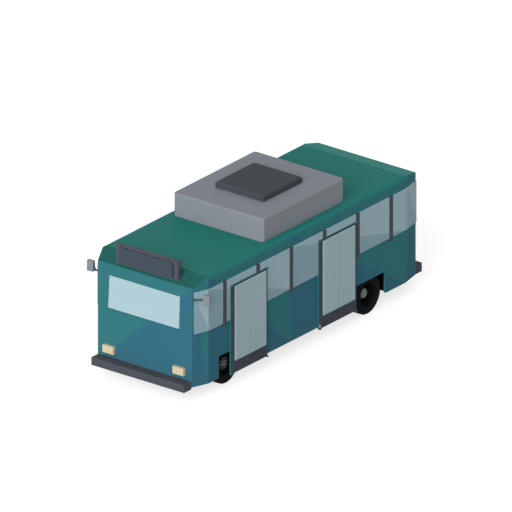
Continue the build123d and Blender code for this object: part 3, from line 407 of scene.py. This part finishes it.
# %% Glass
# The deeper tone of the side glass is painted reflection
SIDE_GLASS_PAINTED_REFLECTION = "#8ba9b3"
HAZE_MM = 1100
HAZE_OCTAVES = 1.0
HAZE_START = 0.35
HAZE_FULL = 0.65
HAZE_SHARE = 0.35
GLASS_ROUGHNESS = 0.15
GLASS_IOR = 1.5
GLASS_SPECULAR = 0.03

# Columns: first and last distance behind the front face, and the fall per metre of the line under which
# the painted reflection lies. Each line starts at the top of the glass.
GLASS_REFLECTION_AREAS = (
    (0.000, 0.352, 2.460),
    (0.352, 2.948, 0.333),
    (2.948, 6.600, 0.241),
    (6.600, 6.990, 2.150),
)


def painted_reflection_planes():
    """The parts of the side glass with painted reflection, as rows of planes like those of the livery."""
    return [strip_planes(first, last, GLASS_HIGH_Z, fall) for first, last, fall in GLASS_REFLECTION_AREAS]


def tinted_glass(name, colour, shaded, through, deep=None):
    """Tinted glass: a pale body colour, painted reflection where given, a slow change of tone and a little
    light let through.
    """
    material, tree, place = new_tree(name)
    tone = linear(colour)
    # Painted reflection: the deeper tone below slanting lines
    if deep:
        below = area_share(tree, place, painted_reflection_planes())
        tone = add(tree, "Mix", {0: below, 6: tone, 7: linear(deep)}, data_type="RGBA").outputs[2]
    haze = add(tree, "TexNoise", {"Vector": place, "Scale": 1 / (HAZE_MM * MILLIMETRE),
                                  "Detail": HAZE_OCTAVES}).outputs[0]
    share = add(tree, "MapRange", {0: haze, 1: HAZE_START, 2: HAZE_FULL, 3: 0.0, 4: HAZE_SHARE}).outputs[0]
    tone = add(tree, "Mix", {0: share, 6: tone, 7: linear(shaded)}, data_type="RGBA").outputs[2]
    close(tree, add(tree, "BsdfPrincipled", {"Base Color": tone, "Roughness": GLASS_ROUGHNESS,
                                            "IOR": GLASS_IOR, "Specular IOR Level": GLASS_SPECULAR,
                                            "Transmission Weight": through}))
    return material


# Toughened side glass: a cool blue-grey that shifts a little from pane to pane, with painted reflection below
# slanting lines
dress(tinted_glass("side_toughened_glass_with_painted_reflection", "#a0bcc5", "#96b2bb", 0.10, SIDE_GLASS_PAINTED_REFLECTION),
      "side_glazing", "rear_glazing")
# Toughened door glass: slightly paler, set in front of the leaf
dress(tinted_glass("door_toughened_glass", "#a4bdc4", "#9db7be", 0.08), *PANES)
# Laminated windscreen: the palest pane, with the light full on it
dress(tinted_glass("windscreen_laminated_glass", "#afc9d2", "#a9c4cc", 0.08), "windscreen")

# %% [markdown]
# ## Lamps
# Headlamp glass over a warm reflector reads as a pale cream block, and the tail lamps are red acrylic.
# Both are ribbed inside so that the light spreads, which shows as fine lines under a smooth surface.

# %% Lamp lenses
# A wave texture of scale 1 turns by 20 radians in a metre, so one of its waves is pi / 10 metres long
WAVE_LENGTH = math.pi / 10
RIB_STRENGTH = 0.25
RIB_DEPTH_MM = 1.0
LENS_ROUGHNESS = 0.30
LENS_SPECULAR = 0.10
LENS_COAT = 0.10
LENS_COAT_ROUGHNESS = 0.05


def lens(name, colour, dark, rib_mm):
    """Lamp lens: a clear coat over ribs that alternate between two tones, one wave to each rib's width."""
    material, tree, place = new_tree(name)
    ribs = add(tree, "TexWave", {"Vector": place, "Scale": WAVE_LENGTH / (rib_mm * MILLIMETRE),
                                 "Distortion": 0.0}, wave_type="BANDS", bands_direction="X").outputs[0]
    tone = add(tree, "Mix", {0: ribs, 6: linear(colour), 7: linear(dark)}, data_type="RGBA").outputs[2]
    bump = add(tree, "Bump", {"Height": ribs, "Strength": RIB_STRENGTH,
                              "Distance": RIB_DEPTH_MM * MILLIMETRE}).outputs[0]
    close(tree, add(tree, "BsdfPrincipled", {"Base Color": tone, "Roughness": LENS_ROUGHNESS, "Normal": bump,
                                            "Specular IOR Level": LENS_SPECULAR, "Coat Weight": LENS_COAT,
                                            "Coat Roughness": LENS_COAT_ROUGHNESS}))
    return material


# Pressed lamp glass: cream from the reflector behind it
dress(lens("headlamp_pressed_glass", "#d6cba9", "#cdc19b", 22), "headlamps")
# Injection-moulded acrylic: deep red and glossy
dress(lens("tail_lamp_red_acrylic", "#8c1f1c", "#741614", 12), "tail_lamps")

# %% [markdown]
# ## Surfaces from arrays
# The pieces that follow are turned or pressed shapes, so each is a grid of points worked out in one go with
# numpy. A grid has rows and columns, and neighbouring points make its quads. A turned shape is a profile
# swept round an axis: its columns run round the axis and close on themselves.
# Several grids joined together make one piece.

# %% Grids, lathes and pieces
WELD_DISTANCE = 0.00001
ROUND_STEPS = 96
round_angles = np.arange(ROUND_STEPS) * 2 * np.pi / ROUND_STEPS


def grid_quads(rows, columns, closed):
    """Quads of a grid: each point with its next neighbours, the last column tied to the first if closed."""
    last_column = columns if closed else columns - 1
    row, column = np.meshgrid(np.arange(rows - 1), np.arange(last_column), indexing="ij")
    beside = (column + 1) % columns
    start, after = row * columns, (row + 1) * columns
    return np.stack((start + column, start + beside, after + beside, after + column), axis=-1).reshape(-1, 4)


def turned(along, radius, angles, centre, axis=0):
    """A profile swept round an axis: along the axis by along, and out from it by radius, at each angle.

    Along and radius are columns of the profile, or grids with a value for each angle.
    The axis is 0 for X and 2 for Z.
    A profile that runs towards +axis on its outside has its faces pointing out.
    """
    along, radius, turn = np.broadcast_arrays(along, radius, angles[None, :])
    points = np.stack((along, radius * np.cos(turn), radius * np.sin(turn)), axis=-1)
    points = np.roll(points, axis, axis=-1) + np.array(centre)
    return points.reshape(-1, 3), grid_quads(*turn.shape, closed=True)


def piece(name, surfaces, material, body, sharp_deg=35):
    """Join surfaces, each its points and its quads, into one mesh that rides on a body.

    Points that coincide, at a pole or where two patches meet, are merged, so the mesh is closed there.
    """
    starts = np.cumsum([0] + [len(points) for points, quads in surfaces])
    joined_points = np.concatenate([points for points, quads in surfaces])
    joined_quads = np.concatenate([surface[1] + start for surface, start in zip(surfaces, starts)])
    mesh = bpy.data.meshes.new(name)
    mesh.from_pydata(joined_points.tolist(), [], joined_quads.tolist())
    welded = bmesh.new()
    welded.from_mesh(mesh)
    bmesh.ops.remove_doubles(welded, verts=welded.verts, dist=WELD_DISTANCE)
    welded.to_mesh(mesh)
    welded.free()
    mesh.polygons.foreach_set("use_smooth", np.ones(len(mesh.polygons), dtype=bool))
    mesh.set_sharp_from_angle(angle=math.radians(sharp_deg))
    mesh.materials.append(material)
    made = bpy.data.objects.new(name, mesh)
    bpy.context.scene.collection.objects.link(made)
    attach(made, body)
    print(name, "has", sum(len(face.vertices) - 2 for face in mesh.polygons), "triangles")
    return made


print("one turned row is", len(grid_quads(2, ROUND_STEPS, closed=True)), "quads round")

# %% [markdown]
# ## Tyres
# A bus tyre is a moulded ring: sidewalls that bulge a little, rounded shoulders with notches, and a tread of
# plain ribs between straight grooves. The engineering model keeps it to flats, so a finer ring takes its
# place. One profile runs from bead to bead and back, and the notches come and go with the angle, so the ring
# is still one grid.

# %% Tyres
TYRE_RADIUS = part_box("front_left_tyre")[1][2] / 2
TYRE_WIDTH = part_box("front_left_tyre")[1][0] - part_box("front_left_tyre")[0][0]
BEAD_RADIUS = 0.249
BEAD_HALF = 0.096
SIDEWALL_BULGE = 0.018
BULGE_TURN = math.radians(112)
SHOULDER_RADIUS = 0.372
TREAD_HALF = 0.092
CROWN_DROP = 0.002
GROOVE_CENTRES = np.array([-0.062, -0.022, 0.022, 0.062])
GROOVE_TOP_HALF = 0.0050
GROOVE_FLOOR_HALF = 0.0032
GROOVE_DEPTH = 0.011
NOTCHES = 54
NOTCH_DEPTH = 0.006
# The share of the depth at the top of the sidewall, where a notch starts
NOTCH_START = 0.3
# Shares of a notch's pitch at which points stand, and the share of the depth at each
NOTCH_STEPS = np.array([0.00, 0.62, 0.68, 0.94])
NOTCH_WAVE = np.array([0.0, 0.0, 1.0, 1.0])
SIDEWALL_ROWS = 11
SHOULDER_ROWS = 6

# Moulded rubber: almost black, matt, a shade greyer where it has scuffed
tyre_rubber = moulded("tyre_moulded_rubber", "#1c1d1f", "#242423", 4, 0.3, 0.90, 0.03)


def half_section():
    """One side of the tyre from bead to tread edge, and how far the notches cut each of its points.

    The sidewall bulges as a sine of its rise, and the shoulder is a quarter of an ellipse.
    """
    rise = np.linspace(0, 1, SIDEWALL_ROWS)
    wall_x = BEAD_HALF + SIDEWALL_BULGE * np.sin(BULGE_TURN * rise)
    wall_r = BEAD_RADIUS + (SHOULDER_RADIUS - BEAD_RADIUS) * rise
    round_off = np.linspace(0, np.pi / 2, SHOULDER_ROWS)[1:]
    shoulder_x = TREAD_HALF + (wall_x[-1] - TREAD_HALF) * np.cos(round_off)
    shoulder_r = SHOULDER_RADIUS + (TYRE_RADIUS - CROWN_DROP - SHOULDER_RADIUS) * np.sin(round_off)
    notched = np.concatenate((np.zeros(SIDEWALL_ROWS - 1), [NOTCH_START], np.ones(SHOULDER_ROWS - 1)))
    return np.concatenate((wall_x, shoulder_x)), np.concatenate((wall_r, shoulder_r)), notched


def tread_section():
    """The tread across its width: a crown that drops with x squared, less a flat groove at each centre."""
    edge = np.array([-GROOVE_TOP_HALF, -GROOVE_FLOOR_HALF, GROOVE_FLOOR_HALF, GROOVE_TOP_HALF])
    x = (GROOVE_CENTRES[:, None] + edge).ravel()
    sunk = np.tile([0.0, 1.0, 1.0, 0.0], len(GROOVE_CENTRES))
    radius = TYRE_RADIUS - CROWN_DROP * (x / TREAD_HALF) ** 2 - GROOVE_DEPTH * sunk
    return x, radius


def tyre_surface(centre):
    """A whole tyre: the profile bead to bead and back, its shoulders lowered where a notch passes."""
    side_x, side_r, notched = half_section()
    tread_x, tread_r = tread_section()
    x = np.concatenate((-side_x, tread_x, side_x[::-1], -side_x[:1]))
    radius = np.concatenate((side_r, tread_r, side_r[::-1], side_r[:1]))
    cut = np.concatenate((notched, np.zeros(len(tread_x)), notched[::-1], notched[:1]))
    pitch = 2 * np.pi / NOTCHES
    angles = (np.arange(NOTCHES)[:, None] * pitch + NOTCH_STEPS * pitch).ravel()
    wave = np.tile(NOTCH_WAVE, NOTCHES)
    return turned(x[:, None], radius[:, None] - NOTCH_DEPTH * cut[:, None] * wave, angles, centre)


# Each wheel or pair of twin wheels: axle, side, which way along X is outwards, ending of its plural names,
# body, middles of its tyres and centre of the outer one
wheels = []
for hand, out in (("left", 1), ("right", -1)):
    for end, plural in (("front", ""), ("rear", "s")):
        low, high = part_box(f"{end}_{hand}_tyre{plural}")
        first, last = low[0] + TYRE_WIDTH / 2, high[0] - TYRE_WIDTH / 2
        middles = [first] if end == "front" else [first, last]
        centre = (max(middles, key=abs), (low[1] + high[1]) / 2, TYRE_RADIUS)
        wheels.append((end, hand, out, plural, f"{end}_{hand}_wheel{plural}", middles, centre))
for end, hand, out, plural, body, middles, centre in wheels:
    rings = [tyre_surface((middle, *centre[1:])) for middle in middles]
    ring = piece(f"{end}_{hand}_road_tyre{plural}", rings, tyre_rubber, body)
    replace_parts(ring, f"{end}_{hand}_tyre{plural}")

# %% [markdown]
# ## Rims
# A rim is a rolled barrel with a lip on each side, and a pressed disc with round hand holes and a ring of
# nuts. A hole could be cut with a boolean, but then the faces round it are long slivers. Here each hole has
# a sector of the disc to itself, and straight lines from the hole's circle to the sector's edge make a clean
# ruled patch. The arches are black and only the hub shows grey, so the steel is enamelled near black,
# which paints the arch's shade onto the wheel, and the hub and nuts are bare.

# %% Rims
BARREL_HALF = 0.108
BARREL_RADIUS = 0.2475
BARREL_WALL = 0.016
BARREL_INNER = BARREL_RADIUS - BARREL_WALL
LIP_RADIUS = 0.262
LIP_WIDTH = 0.010
EDGE_EASE = 0.006
DISC_THICKNESS = 0.014
HAND_HOLES = 8
HALF_SECTOR = np.pi / HAND_HOLES
HOLE_RADIUS = 0.026
HOLE_RING = 0.182
PATCH_STEPS = 32
PATCH_ROWS = 4
SEAT_LAP = 0.004
HUB_BEVEL = 0.012
HUB_CAP = 0.016
NUTS = 10
NUT_SIDES = 6
NUT_RADIUS = 0.017
NUT_HEIGHT = 0.020
NUT_BEVEL = 0.003

# Dipped black enamel over pressed steel, darkened as painted arch shade: near black and satin, browner where
# brake dust has settled
rim_paint_and_painted_shade = moulded("rim_black_enamel_and_painted_shade", "#131416", "#1f1e1c", 6, 0.1, 0.60, 0.02)
# Zinc-plated hub and nuts: mid grey and dull, with darker patches where the plating has weathered
hub_zinc = moulded("hub_zinc_plate", "#82868c", "#6a6b6b", 4, 0.1, 0.50, 0.10)


def barrel_surface(centre):
    """The barrel's ring: a closed outline with a lip on each side, swept round the axle."""
    eased = BARREL_INNER + EDGE_EASE
    lip_root = BARREL_HALF - LIP_WIDTH
    along = np.array([-BARREL_HALF, -BARREL_HALF, -lip_root, -lip_root, lip_root, lip_root,
                      BARREL_HALF, BARREL_HALF, lip_root, -lip_root, -BARREL_HALF])
    radius = np.array([eased, LIP_RADIUS, LIP_RADIUS, BARREL_RADIUS, BARREL_RADIUS, LIP_RADIUS,
                       LIP_RADIUS, eased, BARREL_INNER, BARREL_INNER, eased])
    return turned(along[:, None], radius[:, None], round_angles, centre)


def disc_sector(hub_radius):
    """A sector's hole and edge in polar coordinates about the axle: radius and turn of each, point for point.

    The hole is a circle. The edge is a square on the same angles, bent so that two of its sides are arcs.
    """
    around = np.arange(PATCH_STEPS) * 2 * np.pi / PATCH_STEPS
    outer_radius = BARREL_INNER + SEAT_LAP
    reach = 1 / np.maximum(np.abs(np.cos(around)), np.abs(np.sin(around)))
    edge_turn = HALF_SECTOR * np.cos(around) * reach
    climb = np.sin(around) * reach
    edge_r = HOLE_RING + np.where(climb > 0, outer_radius - HOLE_RING, HOLE_RING - hub_radius) * climb
    hole_y = HOLE_RING + HOLE_RADIUS * np.sin(around)
    hole_x = HOLE_RADIUS * np.cos(around)
    return np.hypot(hole_x, hole_y), np.arctan2(hole_x, hole_y), edge_r, edge_turn


def pierced_disc(centre, out, face, hub_radius):
    """Both faces of the disc, the walls of its holes and its inner and outer edges.

    A sector's face is a ruled patch: each point lies a share of the way from the hole's circle to the edge.
    """
    hole_r, hole_turn, edge_r, edge_turn = disc_sector(hub_radius)
    share = np.linspace(0, 1, PATCH_ROWS)[:, None]
    patch_r = hole_r + (edge_r - hole_r) * share
    patch_turn = hole_turn + (edge_turn - hole_turn) * share
    quads = grid_quads(*patch_r.shape, closed=True)
    back_face = face - out * DISC_THICKNESS
    layers = [(patch_r, patch_turn, np.full(patch_r.shape, face), quads[:, ::out]),
              (patch_r, patch_turn, np.full(patch_r.shape, back_face), quads[:, ::-out])]
    eighth = PATCH_STEPS // 8
    rim_edge = slice(eighth, 3 * eighth + 1)
    hub_edge = slice(5 * eighth, 7 * eighth + 1)
    walls = ((hole_r, hole_turn, True, out), (edge_r[rim_edge], edge_turn[rim_edge], False, -out),
             (edge_r[hub_edge], edge_turn[hub_edge], False, -out))
    for radius, turn, closed, order in walls:
        along, wall_r, wall_turn = np.broadcast_arrays(np.array([[back_face], [face]]), radius, turn)
        layers.append((wall_r, wall_turn, along, grid_quads(*along.shape, closed=closed)[:, ::order]))
    surfaces = []
    for turn in 2 * HALF_SECTOR * np.arange(HAND_HOLES):
        for radius, angle, along, faces in layers:
            points = np.stack((along, radius * np.cos(angle + turn), radius * np.sin(angle + turn)), axis=-1)
            surfaces.append((points.reshape(-1, 3) + np.array((0, centre[1], centre[2])), faces))
    return surfaces


def axle_lathe(stations, radii, out, centre, angles=round_angles):
    """A profile turned about the line along X through a centre.

    The profile is given outwards, which is towards -X on the right side, so it is run backwards there.
    """
    along, radius = np.array(stations)[::out], np.array(radii)[::out]
    return turned(along[:, None], radius[:, None], angles, (0, centre[1], centre[2]))


def nut_ring(face, out, ring_radius, centre):
    """Six-sided nuts on a circle about the axle: each is a closed lathe of six steps with a bevelled top."""
    six = np.arange(NUT_SIDES) * 2 * np.pi / NUT_SIDES
    along = np.array([0, 0, NUT_HEIGHT - NUT_BEVEL, NUT_HEIGHT, NUT_HEIGHT]) * out + face
    radius = [0.0, NUT_RADIUS, NUT_RADIUS, NUT_RADIUS - NUT_BEVEL, 0.0]
    turns = np.arange(NUTS) * 2 * np.pi / NUTS
    middles = [(0, centre[1] + ring_radius * np.cos(turn), centre[2] + ring_radius * np.sin(turn))
               for turn in turns]
    return [axle_lathe(along, radius, out, middle, six) for middle in middles]


def hub_surfaces(hub_back, hub_end, hub_radius, bore_radius, out, centre):
    """The hub's outside with a bevelled end, and its blind bore from the back."""
    bore_end = hub_end - out * HUB_CAP
    outside = axle_lathe([hub_back, hub_back, hub_end - out * HUB_BEVEL, hub_end, hub_end],
                         [bore_radius, hub_radius, hub_radius, hub_radius - HUB_BEVEL, 0.0], out, centre)
    bore = axle_lathe([bore_end, bore_end, hub_back], [0.0, bore_radius, bore_radius], out, centre)
    return [outside, bore]


# Columns by axle: disc's outer face, hub's inner and outer ends, all out of the outer tyre's middle,
# then the radius of the hub, of its blind bore and of the nut circle
DISC_TABLE = {"front": (0.034, -0.050, 0.066, 0.078, 0.0353, 0.112),
              "rear": (-0.1025, -0.390, 0.021, 0.100, 0.0453, 0.134)}
for end, hand, out, plural, body, middles, centre in wheels:
    disc_out, back_out, hub_out, hub_radius, bore_radius, nut_circle = DISC_TABLE[end]
    face, hub_back, hub_end = (centre[0] + out * reach for reach in (disc_out, back_out, hub_out))
    steel = [barrel_surface((middle, *centre[1:])) for middle in middles]
    steel += pierced_disc(centre, out, face, hub_radius - SEAT_LAP)
    hub = hub_surfaces(hub_back, hub_end, hub_radius, bore_radius, out, centre)
    hub += nut_ring(face, out, nut_circle, centre)
    rim = piece(f"{end}_{hand}_disc_wheel{plural}", steel, rim_paint_and_painted_shade, body, sharp_deg=25)
    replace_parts(rim, f"{end}_{hand}_rim{plural}")
    piece(f"{end}_{hand}_hub_and_nuts", hub, hub_zinc, body, sharp_deg=25)

# %% [markdown]
# ## Brake drums
# Light would shine straight through the hand holes, and on a real axle a brake drum stands behind them.
# It is a cast cup that turns with the wheel, open towards the axle, so its closed outline is one more lathe.

# %% Brake drums
DRUM_RADIUS = 0.222
DRUM_WALL = 0.018
DRUM_PLATE = 0.012
DRUM_BEVEL = 0.003
DRUM_GAP = 0.004
# How far the drum's open end lies out of the outer tyre's middle, by axle
DRUM_BACK = {"front": -0.045, "rear": -0.300}

# Sand-cast iron, heated and cooled many times: dark brown-grey with a dry skin
drum_iron = moulded("brake_drum_cast_iron", "#191817", "#262320", 8, 0.4, 0.80, 0.02)


def drum_surface(end, out, centre):
    """The drum's cup: a closed outline from the open end along the skirt, over the plate and back inside."""
    disc_out, hub_radius = DISC_TABLE[end][0], DISC_TABLE[end][3]
    plate = disc_out - DISC_THICKNESS - DRUM_GAP
    skirt_end = DRUM_BACK[end]
    eye = hub_radius - SEAT_LAP
    inner = DRUM_RADIUS - DRUM_WALL
    outline = np.array([(skirt_end, inner), (skirt_end, DRUM_RADIUS), (plate - DRUM_BEVEL, DRUM_RADIUS),
                        (plate, DRUM_RADIUS - DRUM_BEVEL), (plate, eye), (plate - DRUM_PLATE, eye),
                        (plate - DRUM_PLATE, inner), (skirt_end, inner)])
    return axle_lathe(centre[0] + out * outline[:, 0], outline[:, 1], out, centre)


for end, hand, out, plural, body, middles, centre in wheels:
    drum = drum_surface(end, out, centre)
    piece(f"{end}_{hand}_brake_drum", [drum], drum_iron, body, sharp_deg=25)

# %% [markdown]
# ## Springs
# Under the rails stand rubber air springs. A bellows swells between its clamping rings, so its radius
# follows the height as a rounded wave. It is a lathe about an upright axis, with one wave at the front
# and two at the rear.

# %% Springs
BELLOWS_ROWS = 25
BELLOWS_WAIST = 0.016
# A power under 1 makes the waves fuller and the waists between them sharper
BELLOWS_POWER = 0.7
FRONT_BELLOWS_RADIUS = 0.080
REAR_BELLOWS_RADIUS = 0.095
# How far the rear springs' feet lie below the top of the rear axle
REAR_SEAT_DROP = 0.100

# Moulded rubber with cord inside: black and matt
bellows_rubber = moulded("spring_moulded_rubber", "#17181a", "#26272a", 6, 0.2, 0.85, 0.04)
spring_low, spring_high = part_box("springs")
spring_x = spring_high[0] - REAR_BELLOWS_RADIUS

# Columns: Y of the axis, radius, lower and upper z, number of waves
spring_table = (
    (spring_low[1] + FRONT_BELLOWS_RADIUS, FRONT_BELLOWS_RADIUS,
     spring_low[2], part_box("crossmembers")[0][2], 1),
    (spring_high[1] - REAR_BELLOWS_RADIUS, REAR_BELLOWS_RADIUS,
     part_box("rear_axle")[1][2] - REAR_SEAT_DROP, spring_high[2], 2),
)


def bellows(centre_x, centre_y, radius, low, high, waves):
    """A closed bellows: the radius is full at each wave's middle and less by the waist between the waves."""
    share = np.linspace(0, 1, BELLOWS_ROWS)
    swell = radius - BELLOWS_WAIST * (1 - np.abs(np.sin(np.pi * waves * share)) ** BELLOWS_POWER)
    along = np.concatenate(([low], low + (high - low) * share, [high]))
    out = np.concatenate(([0.0], swell, [0.0]))
    return turned(along[:, None], out[:, None], round_angles, (centre_x, centre_y, 0), axis=2)


springs = [bellows(side * spring_x, *row) for row in spring_table for side in (1, -1)]
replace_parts(piece("air_springs", springs, bellows_rubber, "body"), "springs")

# %% [markdown]
# ## Mirror glass
# Each mirror head holds a slightly domed mirror on its rear face. A dome over a rectangle is one height
# function of two parameters, so the dome is one grid. It starts just inside the shell, where a flat grid
# closes it.

# %% Mirror glass
HEAD_WIDTH = 0.153
GLASS_MARGIN = 0.012
GLASS_DOME = 0.006
GLASS_SEAT = 0.0005
GLASS_STEPS = 25
SILVER = "#c9ced2"
SMEAR_MM = 60
SMEAR_OCTAVES = 4.0
SMEAR_START = 0.35
SMEAR_FULL = 0.75
CLEAN_ROUGHNESS = 0.03
SMEARED_ROUGHNESS = 0.12

# Silvered glass: a bright, almost colourless mirror, dulled in smears
mirror_glass, tree, place = new_tree("mirror_silvered_glass")
smear = add(tree, "TexNoise", {"Vector": place, "Scale": 1 / (SMEAR_MM * MILLIMETRE),
                               "Detail": SMEAR_OCTAVES}).outputs[0]
rough = add(tree, "MapRange", {0: smear, 1: SMEAR_START, 2: SMEAR_FULL,
                               3: CLEAN_ROUGHNESS, 4: SMEARED_ROUGHNESS}).outputs[0]
close(tree, add(tree, "BsdfPrincipled", {"Base Color": linear(SILVER), "Metallic": 1.0, "Roughness": rough}))
head_low, head_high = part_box("mirror_heads")


def domed_glass(middle_x):
    """A dome on a rectangle and its flat back.

    The dome stands out by its height times (1 - u squared)(1 - v squared), with u and v from -1 to 1.
    """
    u, v = np.meshgrid(np.linspace(-1, 1, GLASS_STEPS), np.linspace(-1, 1, GLASS_STEPS), indexing="ij")
    half_height = (head_high[2] - head_low[2]) / 2 - GLASS_MARGIN
    x = middle_x + u * (HEAD_WIDTH / 2 - GLASS_MARGIN)
    z = (head_high[2] + head_low[2]) / 2 + v * half_height
    seat = head_high[1] - GLASS_SEAT
    swell = (GLASS_DOME + GLASS_SEAT) * (1 - u ** 2) * (1 - v ** 2)
    quads = grid_quads(GLASS_STEPS, GLASS_STEPS, closed=False)
    dome = np.stack((x, seat + swell, z), axis=-1).reshape(-1, 3)
    flat = np.stack((x, np.full(x.shape, seat), z), axis=-1).reshape(-1, 3)
    return [(dome, quads), (flat, quads[:, ::-1])]


head_middle = head_high[0] - HEAD_WIDTH / 2
glasses = domed_glass(head_middle) + domed_glass(-head_middle)
piece("mirror_glasses", glasses, mirror_glass, "body")

# %% [markdown]
# ## Floor and light
# The bus stands on a plain white floor under soft light. The light comes mostly from the front, because in
# the picture the front is the brightest face, the roof comes next and the door side is the darkest.
# The floor and the sky are white by themselves where they are seen, straight, mirrored or through glass.
# Where they only light the bus they are darker, so the lamps need not be turned up to make them white.

# %% Studio
FLOOR_HALF = 60.0
FLOOR_GREY = (0.5, 0.5, 0.5, 1.0)
FLOOR_ROUGHNESS = 0.9
FLOOR_GLOW = 0.72
WHITE = (1.0, 1.0, 1.0, 1.0)
SKY_LEVEL = 0.47
SUN_LEVEL = 2.53
SUN_FROM = Vector((0.24, -0.90, 0.40))
SUN_SPREAD = math.radians(50)


def seen_share(tree):
    """1 for a ray that shows what it meets, from the camera, a mirror or glass, else 0."""
    path = add(tree, "LightPath").outputs
    seen = path["Is Camera Ray"]
    for ray in ("Is Glossy Ray", "Is Transmission Ray"):
        seen = add(tree, "Math", {0: seen, 1: path[ray]}, operation="MAXIMUM").outputs[0]
    return seen


world = bpy.data.worlds.new("studio")
world.use_nodes = True
sky_tree = world.node_tree
sky_tree.nodes.clear()
level = add(sky_tree, "MapRange", {0: seen_share(sky_tree), 1: 0.0, 2: 1.0, 3: SKY_LEVEL, 4: 1.0}).outputs[0]
sky = add(sky_tree, "Background", {"Color": WHITE, "Strength": level})
add(sky_tree, "OutputWorld", {"Surface": sky.outputs[0]})
bpy.context.scene.world = world

corners = FLOOR_HALF * np.array([(-1, -1, 0), (1, -1, 0), (1, 1, 0), (-1, 1, 0)])
floor_mesh = bpy.data.meshes.new("studio_floor")
floor_mesh.from_pydata(corners.tolist(), [], [(0, 1, 2, 3)])
studio_floor = bpy.data.objects.new("studio_floor", floor_mesh)
bpy.context.scene.collection.objects.link(studio_floor)
# Matt white sheet: as white as the sky, with a soft grey shadow under the bus
floor_white, tree = new_tree("studio_floor_white")[:2]
glow = add(tree, "Math", {0: seen_share(tree), 1: FLOOR_GLOW}, operation="MULTIPLY").outputs[0]
close(tree, add(tree, "BsdfPrincipled", {"Base Color": FLOOR_GREY, "Roughness": FLOOR_ROUGHNESS,
                                        "Specular IOR Level": 0.0, "Emission Color": WHITE,
                                        "Emission Strength": glow}))
floor_mesh.materials.append(floor_white)

sun_data = bpy.data.lights.new("key", "SUN")
sun_data.energy = SUN_LEVEL
sun_data.angle = SUN_SPREAD
sun = bpy.data.objects.new("key", sun_data)
sun.rotation_euler = SUN_FROM.to_track_quat("Z", "Y").to_euler()
bpy.context.scene.collection.objects.link(sun)
print("sky", SKY_LEVEL, "key", SUN_LEVEL)

# %% [markdown]
# ## Finish
# The view is plain sRGB.

# %% Finish
bpy.context.scene.view_settings.view_transform = "Standard"
